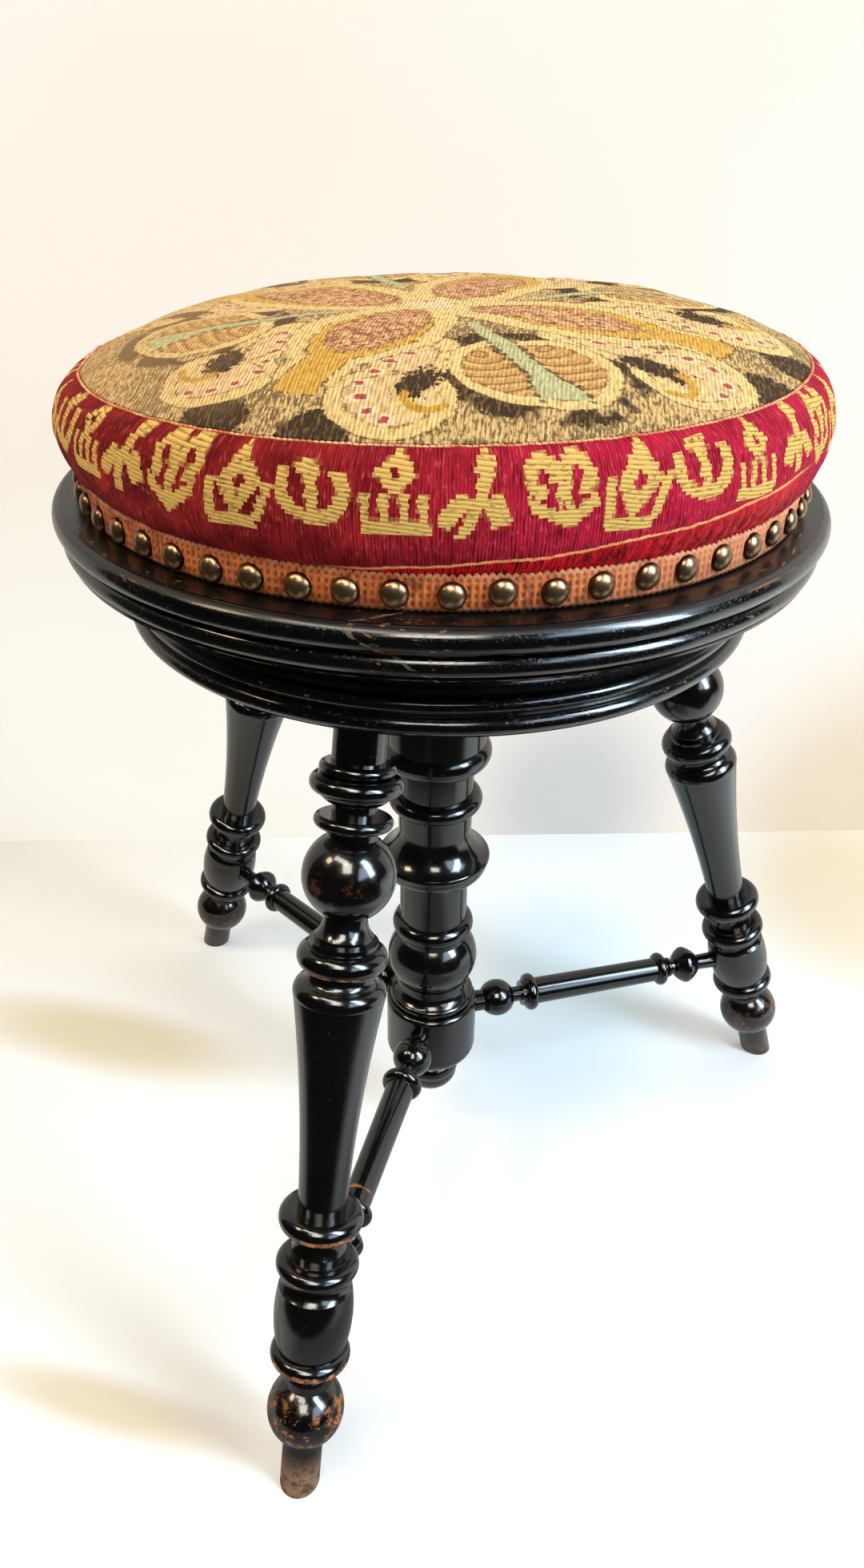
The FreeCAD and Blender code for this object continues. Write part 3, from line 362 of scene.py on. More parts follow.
DISCS = {
    "seat_board": disc_finish("lacquer_seat_board", BOARD_RINGS, 430.4),
    "fixed_top": disc_finish("lacquer_fixed_top", FIXED_RINGS, 401),
}
dress(DISCS)
print("discs dressed:", len(DISCS))

# %% [markdown]
# ## Iron, steel, leather and bare pine
# These sit between the discs and under the cloth, and show only when the seat is screwed up. Each
# has one mottled colour and a fine roughness, and the pine has rings.


# %% The hidden pieces
def plain_finish(name, dark, pale, size, rough, metallic=0.0):
    finish = Finish(name)
    finish.place()
    mottle = finish.speckle(size, detail=4)
    fine = finish.speckle(size * 0.2, detail=3)
    return finish.surface(
        Base_Color=mix(mottle, dark, pale),
        Roughness=fine * 0.25 + rough,
        Metallic=metallic,
        Normal=finish.bump(fine, 0.3, 0.0003),
    )


def pine_finish():
    finish = Finish("pine_board")
    x, y, z = finish.place()
    rings = finish.node(
        "ShaderNodeTexWave",
        {"bands_direction": "X"},
        Vector=finish.vector(x, y * 0.12, z),
        Scale=0.06,
        Distortion=3.5,
        Detail=3,
        Detail_Scale=0.4,
        out=1,
    )
    return finish.surface(
        Base_Color=mix(rings, (206, 166, 112), (164, 112, 62)),
        Roughness=0.62 + rings * 0.1,
        Normal=finish.bump(rings, 0.2, 0.0003),
    )


HIDDEN = {
    "screw_nut": plain_finish("greased_iron_nut", (30, 28, 27), (72, 66, 60), 6, 0.35, 0.9),
    "screw_spindle": plain_finish("greased_iron", (44, 42, 40), (104, 98, 92), 5, 0.24, 0.95),
    "spindle_flange": plain_finish("cast_flange", (30, 27, 25), (66, 58, 52), 4, 0.45, 0.8),
    "jam_washer": plain_finish("waxed_leather", (60, 34, 18), (120, 76, 42), 3, 0.5),
    "pad_base": pine_finish(),
}
wood_screws = plain_finish("dulled_steel", (70, 66, 60), (150, 142, 130), 2, 0.35, 0.95)
HIDDEN |= dict.fromkeys(("nut_screws", "flange_screws", "base_screws"), wood_screws)
dress(HIDDEN)
print("hidden pieces dressed:", sorted(HIDDEN))

# %% [markdown]
# ## The cushion
# The seat is hair stuffing under a ribbed border, nailed over the edge, and a round top sewn to
# it. A lathe shape alone looks like plastic, because cloth under tension bulges between what holds
# it. So a smaller lathe shape is made first, and Blender's Cloth blows it up against its pinned
# foot and seam. Its rings follow the seam, so the top and the border part exactly there.

# %% Sizes of the cushion
BASE_TOP = 447
FOOT_RADIUS = 160.5
SEAM_RADIUS = 153.5
SEAM_HEIGHT = 489
CROWN_HEIGHT = 507.8
ROUND = 180
SIDE_RINGS = 16
TOP_RINGS = 26
HEM_RINGS = 3


def seam_lift(turn):
    """The cover sits a little askew, so its seam climbs to the right."""
    return 4 * math.cos(turn - 0.1) + 0.5 * math.sin(3 * turn)


def side_point(turn, share):
    """A point of the border, from the foot at share 0 up to the seam at share 1."""
    seam = SEAM_HEIGHT + seam_lift(turn)
    swell = 12.2 * math.sin(math.pi * share**1.28) ** 0.45 if 0 < share < 1 else 0
    radius = FOOT_RADIUS + (SEAM_RADIUS - FOOT_RADIUS) * share + swell
    return radius, BASE_TOP + (seam - BASE_TOP) * share


def top_point(turn, share):
    """A point of the top, from the seam at share 0 to the middle at share 1."""
    radius = SEAM_RADIUS * (1 - share)
    seam = SEAM_HEIGHT + seam_lift(turn) * (1 - share)
    rise = (CROWN_HEIGHT - SEAM_HEIGHT) * (1 - (1 - share) ** 4.2)
    return radius, seam + rise


print("cushion from", BASE_TOP, "to", CROWN_HEIGHT, "mm")


# %% The lathe shape that the simulation starts from
def join_rings(mesh, rings, closed=False):
    """Faces between each ring and the next, and from the last to the first if closed."""
    following = rings[1:] + (rings[:1] if closed else [])
    for low, high in zip(rings, following):
        for index in range(len(low)):
            after = (index + 1) % len(low)
            mesh.faces.new((low[index], low[after], high[after], high[index]))


def close_ring(mesh, ring, middle, order=1):
    """A fan of triangles from a ring to its middle."""
    point = mesh.verts.new(middle)
    for index in range(len(ring)):
        pair = (ring[index], ring[(index + 1) % len(ring)])
        mesh.faces.new((*pair[::order], point))


def smooth_piece(name, mesh):
    """The object that a finished bmesh becomes, shaded smooth."""
    bmesh.ops.recalc_face_normals(mesh, faces=mesh.faces[:])
    data = bpy.data.meshes.new(name)
    mesh.to_mesh(data)
    mesh.free()
    for face in data.polygons:
        face.use_smooth = True
    return add(name, data)


def ringed_piece(name, rings, closed=False):
    """A piece from rings of points: a loop if closed, or else with both its ends filled."""
    mesh = bmesh.new()
    rows = [[mesh.verts.new(Vector(point) * MM) for point in ring] for ring in rings]
    join_rings(mesh, rows, closed)
    if not closed:
        for row, order in ((rows[0], -1), (rows[-1], 1)):
            close_ring(mesh, row, sum((v.co for v in row), Vector()) / len(row), order)
    return smooth_piece(name, mesh)


def around(point_at, share):
    ring = []
    for index in range(ROUND):
        turn = math.tau * index / ROUND
        radius, height = point_at(turn, share)
        ring.append((radius * math.cos(turn), radius * math.sin(turn), height))
    return ring


def hem_point(turn, share):
    return FOOT_RADIUS, BASE_TOP - 13.4 * (1 - share)


inside = [[(x * 0.4, y * 0.4, z) for x, y, z in around(hem_point, 0)]]
hem = [around(hem_point, step / HEM_RINGS) for step in range(HEM_RINGS)]
side = [around(side_point, step / SIDE_RINGS) for step in range(SIDE_RINGS)]
crown = [around(top_point, (step / TOP_RINGS) ** 0.85) for step in range(TOP_RINGS)]
cushion = ringed_piece("cushion_border", inside + hem + side + crown)
SEAM_ROW = len(inside) + len(hem) + len(side)
print("cushion mesh:", len(cushion.data.vertices), "points, seam at row", SEAM_ROW)


# %% Blow it up against its foot and its seam
def hold(piece, weights):
    """Pins rows of points, fully at weight 1."""
    group = piece.vertex_groups.new(name="held")
    for row, weight in weights.items():
        group.add(list(range(row * ROUND, (row + 1) * ROUND)), weight, "REPLACE")
    return group.name


def inflate(piece, pins, pressure, most):
    """Runs Cloth for 20 frames, and keeps each point near where it began."""
    start = [v.co.copy() for v in piece.data.vertices]
    cloth = piece.modifiers.new("cloth", "CLOTH")
    cloth.settings.use_pressure = True
    cloth.settings.uniform_pressure_force = pressure
    cloth.settings.effector_weights.gravity = 0
    cloth.settings.vertex_group_mass = pins
    cloth.settings.tension_stiffness = 25
    cloth.settings.compression_stiffness = 25
    cloth.settings.bending_stiffness = 2
    cloth.settings.quality = 6
    scene = bpy.context.scene
    for step in range(1, 21):
        scene.frame_set(step)
    graph = bpy.context.evaluated_depsgraph_get()
    blown = piece.evaluated_get(graph).to_mesh()
    ends = [v.co.copy() for v in blown.vertices]
    piece.evaluated_get(graph).to_mesh_clear()
    piece.modifiers.remove(cloth)
    scene.frame_set(1)
    furthest = 0
    for vertex, begin, end in zip(piece.data.vertices, start, ends):
        move = end - begin
        furthest = max(furthest, move.length)
        if move.length > most:
            move *= most / move.length
        vertex.co = begin + move
    return furthest


held_rows = {row: 1.0 for row in range(len(inside) + len(hem) + 1)}
held_rows[SEAM_ROW] = 0.9
pins = hold(cushion, held_rows)
moved = inflate(cushion, pins, 4, 5.5 * MM)
print("the cloth moved by up to", round(moved / MM, 1), "mm")

# %% [markdown]
# ## Pulls and puckers
# At each nail the border is drawn in, and it puffs a little between nails. Soft dents a few
# centimetres wide run through the crown. Both are plain sums on the points, cheaper and steadier
# than more simulation.

# %% Puckers at the nails, dents in the crown
NAILS = 56
NAIL_HEIGHT = 440.3
FIRST_NAIL = math.radians(2.9)
BORDER_FROM = 148
GATHERED = 26
CREASED = (-0.85, 0.3)
FOLDED = (-1.75, -0.2)


def fold_line(turn):
    """The height of the fold at the border's lower right, which a gold thread edges."""
    return (turn + 0.96) * 15 + 456


def clamp(value):
    return min(1.0, max(0.0, value))


def border_pull(turn, out, z):
    """How far nails, creases and the fold draw the border in at a point."""
    pull = 0.7 * math.cos(NAILS * (turn - FIRST_NAIL))
    pull += 2.4 * fields.noise(Vector((out.x * 11, out.y * 11, z * 0.05)))
    start, end = CREASED
    if start < turn < end:
        crease = abs(fields.noise(Vector((turn * 22, 8, z * 0.1)))) * 3.4 - 0.7
        pull += crease * math.sin((turn - start) / (end - start) * math.pi)
    if FOLDED[0] < turn < FOLDED[1]:
        pull -= 0.55 * math.tanh((z - fold_line(turn)) / 1.5)
    return pull * max(0.0, 1 - (z - BASE_TOP) / GATHERED) * clamp((z - BASE_TOP + 2) / 6)


def soften(piece):
    for vertex in piece.data.vertices:
        x, y, z = vertex.co / MM
        radius = math.hypot(x, y)
        if radius < 1 or z < BASE_TOP - 2:
            continue
        out = Vector((x, y, 0)) / radius
        if radius > BORDER_FROM:
            vertex.co -= out * border_pull(math.atan2(y, x), out, z) * MM
        here = Vector((x, y, z))
        dent = fields.noise(here * 0.022) * 1.8 + fields.noise(here * 0.06) * 0.7
        upward = Vector((0, 0, 0.8 if radius < SEAM_RADIUS - 1.5 else 0.2))
        vertex.co += (out * 0.6 + upward) * dent * clamp((z - BASE_TOP) / 14) * MM


def subdivide(piece):
    finer = piece.modifiers.new("finer", "SUBSURF")
    finer.levels = finer.render_levels = 1


soften(cushion)
subdivide(cushion)
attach(cushion, "seat")
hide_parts("stuffing", "lining", "cover_border")
print("cushion softened")

# %% [markdown]
# ## The round top
# The top is its own piece of cloth. It takes the crown's points from the cushion, so it fits
# without a gap, and stands out by the thickness of the cloth. Its edge turns under at the seam.


# %% Lift the top off the cushion
LIFT = 0.5
LIP_OUT = 0.42
LIP_DROP = 0.34


def ring_of(piece, row):
    """One ring of the cushion's points, in millimetres."""
    return [vertex.co / MM for vertex in piece.data.vertices[row * ROUND : (row + 1) * ROUND]]


def outward(point):
    return Vector((point.x, point.y, 0)).normalized()


def top_rings(cushion):
    """The turned-in hem, a lip over the seam, and the lifted crown."""
    seam, below = ring_of(cushion, SEAM_ROW), ring_of(cushion, SEAM_ROW - 1)
    lip = [high.lerp(low, LIP_DROP) for high, low in zip(seam, below)]
    lip = [point + outward(point) * LIP_OUT + Vector((0, 0, 0.1)) for point in lip]
    hem = [(x * 0.995, y * 0.995, z - 0.3) for x, y, z in lip]
    edge = [(x * 1.0012, y * 1.0012, z + LIP_OUT) for x, y, z in seam]
    rings = [hem, lip, edge]
    for row in range(1, TOP_RINGS):
        high = Vector((0, 0, LIFT * min(1, 0.2 + row / 3)))
        rings.append([point + high for point in ring_of(cushion, SEAM_ROW + row)])
    middle = cushion.data.vertices[(SEAM_ROW + TOP_RINGS) * ROUND + 1].co.z / MM + LIFT - 0.02
    rings.append([(x * 0.3, y * 0.3, middle) for x, y, z in rings[-1]])
    return rings


cover = ringed_piece("cushion_top", top_rings(cushion))
subdivide(cover)
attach(cover, "seat")
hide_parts("cover_top")
print("top:", len(cover.data.vertices), "points")

# %% [markdown]
# ## The seam
# Border and top meet in a whipped seam: slanting stitches over the two folded edges. A tube
# follows the seam row, with the stitches as bulges, so that they also show against the light.


# %% Whip the seam
STITCHES = 430
SEAM_THICK = 0.5
SEAM_DROP = 0.36


def seam_rings(cushion):
    """Rings of a tube along the seam row. Its bulges wind round it as the stitches do."""
    seam, below = ring_of(cushion, SEAM_ROW), ring_of(cushion, SEAM_ROW - 1)
    row = [high.lerp(low, SEAM_DROP) for high, low in zip(seam, below)]
    rings = []
    sides, steps = 8, STITCHES * 4
    for step in range(steps):
        place = step * ROUND / steps
        here = row[int(place)].lerp(row[(int(place) + 1) % ROUND], place % 1)
        out = outward(here)
        sway = 0.35 * fields.noise(out * 30)
        ring = []
        for side in range(sides):
            spin = math.tau * side / sides
            size = SEAM_THICK * (1 + 0.28 * math.cos(math.tau * step / 4 - spin))
            up = Vector((0, 0, sway + size * math.sin(spin)))
            ring.append(here + out * (0.45 + size * math.cos(spin)) + up)
        rings.append(ring)
    return rings


seam = ringed_piece("cushion_seam", seam_rings(cushion), closed=True)
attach(seam, "seat")
print("seam stitched")

# %% [markdown]
# ## The braid
# A narrow orange gimp hides the raw edge of the border. It has upright ribs, which are swellings
# of its face, and a looped edge, which is a change of its height.

# %% Weave the gimp
GIMP_INNER = 160.9
GIMP_LOW = 433.4
GIMP_HIGH = 446.6
GIMP_EDGE = [(0, 0), (0.8, 0), (1.15, 0.1), (1.2, 0.3)]
GIMP_PROFILE = GIMP_EDGE + [(1.25, 0.5)] + [(out, 1 - share) for out, share in GIMP_EDGE[::-1]]
LOOPS = 372
COLUMNS = 8


def gimp_rings():
    """The band, COLUMNS rings to a loop. A profile is thickness against share of the height."""
    rings = []
    for column in range(LOOPS * COLUMNS):
        turn = math.tau * column / (LOOPS * COLUMNS)
        out = Vector((math.cos(turn), math.sin(turn), 0))
        loop = abs(math.sin(column * math.pi / COLUMNS))
        rib = 0.5 + 0.5 * math.cos(column * math.tau / COLUMNS)
        low = GIMP_LOW + 0.7 * (1 - loop)
        high = GIMP_HIGH + 1.1 * loop + 0.7 * fields.noise(out * 34)
        ring = []
        for thick, share in GIMP_PROFILE:
            swell = 0.35 * rib if 0 < share < 1 else 0
            point = out * (GIMP_INNER + thick * (1 + swell))
            point.z = low + (high - low) * share
            ring.append(point)
        rings.append(ring)
    return rings


gimp = ringed_piece("gimp_braid", gimp_rings(), closed=True)
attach(gimp, "seat")
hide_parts("gimp_band")
print("gimp:", len(gimp.data.polygons), "faces")

# %% [markdown]
# ## Dome nails
# One turned profile gives the dome with its turned-in edge and its shank. The nails were driven by
# eye, so each copy gets a small seeded shift and tilt.

# %% Drive the nails
NAIL_OUT = 162.2
NAIL_SHANK = [(0, -9), (0.8, -8), (0.8, -0.2)]
NAIL_RIM = [(4.6, -0.2), (5.25, 0.1), (5.3, 0.5)]
NAIL_DOME = [(4.9, 1.5), (3.9, 2.6), (2.3, 3.3), (0.9, 3.55), (0, 3.6)]
NAIL_PROFILE = NAIL_SHANK + NAIL_RIM + NAIL_DOME
SPOKES = 20
shifts = random.Random(52)


def nail_lay(nail):
    """Where a nail goes, driven in from outside."""
    turn = FIRST_NAIL + math.tau * nail / NAILS + shifts.uniform(-0.007, 0.007)
    height = NAIL_HEIGHT + shifts.uniform(-0.7, 0.5) + 1.1 * math.cos(turn - 0.2)
    lay = Matrix.Rotation(turn, 4, "Z") @ Matrix.Translation(Vector((NAIL_OUT, 0, height)) * MM)
    for axis in "YZ":
        lay = lay @ Matrix.Rotation(shifts.uniform(-0.07, 0.07), 4, axis)
    return lay @ Matrix.Rotation(math.pi / 2, 4, "Y")


def nail_row():
    mesh = bmesh.new()
    for nail in range(NAILS):
        lay = nail_lay(nail)
        rows = []
        for radius, rise in NAIL_PROFILE[1:-1]:
            row = []
            for spoke in range(SPOKES):
                angle = math.tau * spoke / SPOKES
                point = Vector((radius * math.cos(angle), radius * math.sin(angle), rise))
                row.append(mesh.verts.new(lay @ (point * MM)))
            rows.append(row)
        join_rings(mesh, rows)
        for row, end in ((rows[0], NAIL_PROFILE[0]), (rows[-1], NAIL_PROFILE[-1])):
            close_ring(mesh, row, lay @ (Vector((0, 0, end[1])) * MM))
    return smooth_piece("nail_row", mesh)


nails = nail_row()
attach(nails, "seat")
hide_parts("dome_nails")
print("nails:", NAILS)

# %% [markdown]
# ## Border cloth
# The border is a ribbed crimson cloth with gold figures woven in. In weaving every edge is a
# step, one thread wide. So each point is first moved to the middle of its cell, and plain shapes
# are then tested there. Five simple figures repeat, and each copy leans in its own way.

# %% The woven border
BORDER_RADIUS = 168
WARP_PITCH = 1.3
WEFT_PITCH = 1.45
FIGURES_AT = 475.4
MOTIFS = 38
RIBS = 844
GATHERS = 162
RED_SIDE = 1.3


def cell(value, size):
    """The middle of the cell that a value falls in."""
    return ((value / size).math("FLOOR") + 0.5) * size


def hashed(number):
    """A chance from 0 to 1 that stays the same for the same whole number."""
    return number.finish.node("ShaderNodeTexWhiteNoise", {"noise_dimensions": "1D"}, number)


def stroke(distance, half):
    """1 where a distance is under the half width of a stroke."""
    return ramp(abs(distance), half + 0.2, half - 0.2)


def block(across, half_width, up, half_height):
    return both(stroke(across, half_width), stroke(up, half_height))


def trident(u, v):
    """A wide cup with a bar standing in it."""
    bow = length(u, (v - 3) * math.sqrt(1.3))
    cup = both(stroke(bow - 11.4, 2.5), ramp(v, 7.6, 7.2))
    bar = block(u, 2.3, v - 0.5, 10)
    head = block(abs(u), 4.8, v - 8.2, 1.8)
    return either(cup, bar, head)


def horns(u, v):
    """A stem that parts into two curls over two low leaves."""
    wide = abs(u)
    curl = length(wide - 5.8, v - 4.6)
    curls = both(stroke(curl - 4.4, 2.2), either(ramp(v, 2.4, 2.8), ramp(wide, 5.4, 5.8)))
    stem = block(u, 2.4, v + 2.5, 8.4)
    leaves = block(v + 9.6 - wide * 0.6, 2.3, wide, 11.6)
    return either(curls, stem, leaves)


def bud(u, v):
    """A lozenge with an eye, between two ticks."""
    wide = abs(u)
    high = abs(v - 1.2)
    body = both(ramp(wide / 8.8 + high / 11, 1.02, 0.96), ramp(wide + high, 2.4, 3.2))
    ticks = block(wide - 11.2 - v * 0.25, 2.0, v + 3.5, 5.6)
    foot = block(u, 9.4, v + 9.8, 1.9)
    return either(body, ticks, foot)


def comb(u, v):
    """Four short teeth on a back with a lozenge hanging over it."""
    wide = abs(u)
    back = block(u, 11.6, v + 9, 2.2)
    teeth = block(abs(wide - 6.6) - 3.2, 1.5, v + 4, 5.2)
    lozenge = ramp(wide * 0.8 + abs(v - 6), 6.6, 5.9)
    eye = ramp(wide + abs(v - 6), 1.6, 2.2)
    return either(back, teeth, both(lozenge, eye))


def sprig(u, v):
    """A leaning stem with a leaf to each side and a berry on top."""
    wide = abs(u)
    stem = block(u - v * 0.2, 2.1, v + 1, 9.6)
    leaves = ramp(abs(wide - 6.6) * 0.9 + abs(v + wide * 0.5 - 1), 5.6, 4.9)
    berry = ramp(length(u - 2, v - 9), 3.6, 3.0)
    return either(stem, leaves, berry)


MOTIF_KINDS = (trident, horns, comb, bud, sprig)


def figures(run, rise):
    """The mask of the ornament in woven cells."""
    pitch = math.tau * BORDER_RADIUS / MOTIFS
    number = (run / pitch).math("FLOOR")
    chance = [hashed(number * 1.7 + seed) for seed in (3.1, 8.3, 14.9)]
    stagger = hashed((rise / WEFT_PITCH).math("FLOOR") * 3.3 + 0.7)
    along = cell(run - (number + 0.5) * pitch + stagger * WARP_PITCH, WARP_PITCH)
    up = cell(rise, WEFT_PITCH)
    leaning = up * (chance[0] - 0.5) * 0.5 + up * up * (chance[2] - 0.5) * 0.03
    u = (along + leaning) * (chance[1] * 0.3 + 0.82)
    v = (up + (chance[2] - 0.5) * 3) * (chance[0] * 0.16 + 0.84)
    kind = (number * 0.4 + 0.02).math("FRACT") * len(MOTIF_KINDS)
    figure = 0.0
    for index, motif in enumerate(MOTIF_KINDS):
        figure = either(both(motif(u, v), stroke(kind - index - 0.1, 0.5)), figure)
    return figure


# %% Red ribs, gold figures and the fold
def border_finish():
    finish = Finish("crimson_border")
    x, y, z = finish.place()
    turn = y.math("ARCTAN2", x)
    aside = (turn + RED_SIDE).math("SINE")
    wander = finish.speckle(36, detail=1) * 3 - 1.5
    run = turn * BORDER_RADIUS + wander * 0.8
    middle = (turn - 0.2).math("COSINE") * 4 + FIGURES_AT
    rise = z - middle + wander
    wear = finish.speckle(3.0, detail=3)
    cloud = finish.speckle(18, detail=3)
    figure = both(figures(run, rise), ramp(wear, 0.28, 0.34))

    # The cloth: a browner red on the left and crimson on the right, the left side's darkness being
    # painted shade, and brighter in the fold under its gold edge
    line_rise = z - fold_line(turn) - wander * 1.2 - wear * 1.6
    ends = ramp(abs(turn + 0.95), 0.66, 0.5)
    fold = both(ramp(line_rise, 0.4, -0.6), ends)
    shaded_brick = mix(ramp(cloud, 0.3, 0.7), (96, 6, 8), (158, 34, 32))
    crimson = mix(cloud, (154, 12, 40), (196, 26, 62))
    red = mix(fold, mix(ramp(aside, -0.48, 0.48), shaded_brick, crimson), (216, 6, 30))

    # Its threads: upright ribs with painted shade between them, rubbed and fuzzy above, and
    # gathered below, where painted shade darkens the lower part
    ribs = wave(run * (RIBS / BORDER_RADIUS))
    threads = finish.speckle(1.1, detail=1, at=(run, z * 0.12, 0.0))
    lower = ramp(z + cloud * 10, 472, 452)
    shade = (1 - ribs) * 0.5 + (threads - 0.5) * 2.9 + (wear - 0.5) * 0.7 + lower * 0.3 - 0.08
    dark_and_shaded_red = (84, 0, 6)
    fuzz_and_sheen = ramp(finish.speckle(1.0, at=(run, z * 0.3, 4.0)), 0.56, 0.7)
    puckered_sheen_side = ramp(aside, 0.1, 0.64)
    gathers = (run * (GATHERS / BORDER_RADIUS) + wear * 9 + z * 0.2).math("SINE")
    gathers = gathers * ramp(z, 466, 452) * (puckered_sheen_side * 1.6 + 0.5)
    red = painted(
        red,
        # Painted shade between the ribs and low down, mixed with darker threads and wear
        (either(shade, 0.0), dark_and_shaded_red),
        # Pale pink threads above, partly painted sheen
        (fuzz_and_sheen * (1 - lower) * 0.45, (206, 92, 92)),
        # Painted shade and a painted highlight on the two sides of each gather, stronger on the
        # right
        (ramp(gathers, 0.1, 1.5) * 0.4, dark_and_shaded_red),
        (ramp(-gathers, 0.5, 2.0) * puckered_sheen_side * 0.32, (236, 66, 78)),
    )

    # The gold: wefts across the figures, flecked where the red shows through
    wefts = wave(rise * (math.tau / WEFT_PITCH) + run * 0.5)
    flecks = finish.speckle(1.5, detail=1, at=(run * 0.4, z * 1.4, 0.0))
    gold = painted(
        mix(ramp(wefts + wear * 0.8, 0.3, 0.8), (160, 116, 50), (218, 178, 100)),
        ((wear - 0.5) * 0.8 + 0.1, (188, 150, 62)),
        (ramp(flecks, 0.6, 0.66) * 0.6, (96, 78, 36)),
    )
    edge = both(ramp(abs(line_rise), 0.8, 0.4), ends) * ramp(cloud, 0.3, 0.36)
    edge_gold = mix(wear, (222, 120, 72), (240, 182, 122))
    relief = (ribs * 0.5 + threads * 0.7) * (1 - figure) + figure * (0.8 + wefts * 0.6)
    return finish.surface(
        Base_Color=painted(red, (figure, gold), (edge, edge_gold)),
        Roughness=0.76 + wear * 0.16 - fold * 0.3,
        Specular_IOR_Level=0.12,
        Normal=finish.bump(relief + wear * 0.4 + gathers * 0.9, 0.55, 0.0007),
    )


cushion.data.materials.append(border_finish())
print("border nodes:", len(cushion.data.materials[0].node_tree.nodes))

# %% [markdown]
# ## Tapestry top
# The top has a cross of petals with mottled rose hearts, leaf fans between them, and on each side
# of a fan a drop with red seeds. Only an eighth of it is described: the angle is folded like a
# paper star, once about a petal and once about a fan, and each shape is a distance in that plane.

# %% Fold the plane
PETAL_TURN = math.radians(-99.5)
WARP_TURN = math.radians(9)
QUARTER = math.pi / 2


def folded(finish, x, y):
    """Distances along and across the nearest petal, and the nearest fan."""
    sway = finish.speckle(26, detail=1)
    other = finish.speckle(31, detail=1)
    fray = finish.speckle(1.8)
    x = x + (sway - 0.5) * 9 + (fray - 0.5) * 5
    bowl = 1 - (x * x + y * y) / 22500
    y = y + (other - 0.5) * 9 + x * 0.07 + bowl * 17 + 5
    reach = length(x, y)
    turn = y.math("ARCTAN2", x) - PETAL_TURN
    part = (turn / QUARTER).math("FRACT") * QUARTER
    from_fan = abs(part - QUARTER / 2)
    from_petal = QUARTER / 2 - from_fan
    petal = (reach * from_petal.math("COSINE"), reach * from_petal.math("SINE"))
    fan = (reach * from_fan.math("COSINE"), reach * from_fan.math("SINE"))
    return reach, petal, fan


def outside_round(place, middle, radius):
    """Millimetres outside a circle, negative within it."""
    return length(place[0] - middle[0], place[1] - middle[1]) - radius


def outside_oval(place, middle, half):
    """About the millimetres outside an oval, negative within it."""
    along, across = [(place[side] - middle[side]) / half[side] for side in (0, 1)]
    return (length(along, across) - 1) * min(half)


print("petals stand at", round(math.degrees(PETAL_TURN)), "degrees and every quarter turn on")

# %% [markdown]
# Every shape is laid on in the same way, by one function that is told how far each point is
# outside it: a thin broken outline, a rim, and a filling.

# %% Weave the tapestry
SEEDS = [(82, 28), (92, 24.5), (103, 22), (114, 21.5), (124, 25), (131, 32), (132, 41)]
FAN_MIDDLE = (101, 0)
FAN_RADIUS = 31
OUTLINE = (120, 82, 48)


def within(outside, soft=0.4):
    return ramp(outside, soft, -soft)


def lay(colour, outside, rim, band, filling):
    """One shape of the pattern, in a rim as wide as band, over the colour so far."""
    broken = outside.finish.broken
    return painted(
        colour,
        (ramp(outside, 1.4, 0.6) * broken, OUTLINE),
        (within(outside), rim),
        (within(outside + band), filling),
        (ramp(abs(outside + band), 1.0, 0.3) * broken * 0.8, OUTLINE),
    )


def ground(finish, petal, fan, hatching):
    """Hatched sand, and dark patches where two shapes nearly meet."""
    hatch = ramp(finish.threads * 0.4 + hatching * 0.6 + finish.cloud * 0.4, 0.66, 0.74)
    sand = mix(finish.cloud, (206, 168, 112), (228, 194, 134))
    dark = ramp(outside_round(fan, FAN_MIDDLE, FAN_RADIUS) + finish.ragged, 10, 8)
    dark = both(dark, ramp(finish.cloud, 0.4, 0.47))
    for middle, half in (((147, 20), (12, 13)), ((66, 40), (12, 7))):
        dark = either(dark, within(outside_oval(petal, middle, half) + finish.ragged))
    return painted(sand, (hatch * 0.72, (92, 70, 44)), (dark, finish.soot))


def drops(finish, colour, petal):
    """A drop on each side of a fan, curling in round a hook, with red seeds."""
    drop = both(outside_round(petal, (119, 36), 23.5), outside_oval(petal, (86, 31), (30, 13.5)))
    pale = mix(finish.mottle, (220, 178, 124), (242, 208, 152))
    colour = lay(colour, drop, finish.cream, 6.5, pale)
    eye = within(outside_oval(petal, (106, 40), (14, 6.5)) + finish.ragged)
    curl = ramp(abs(outside_round(petal, (117, 44), 7)), 2.4, 2.0)
    hook = ramp(abs(outside_round(petal, (114, 47), 8)), 2.1, 1.5)
    from_seed = 99.0
    for seed in SEEDS:
        from_seed = outside_round(petal, seed, 1.9).math("MINIMUM", from_seed)
    return painted(
        colour,
        (eye, finish.soot),
        (both(curl, ramp(petal[1] + petal[0], 155, 158)), finish.cream),
        (both(hook, ramp(petal[0], 113, 115)), (206, 158, 62)),
        (within(from_seed - 1.5) * 0.6, (248, 220, 188)),
        (within(from_seed) * 0.9, (172, 40, 30)),
    )


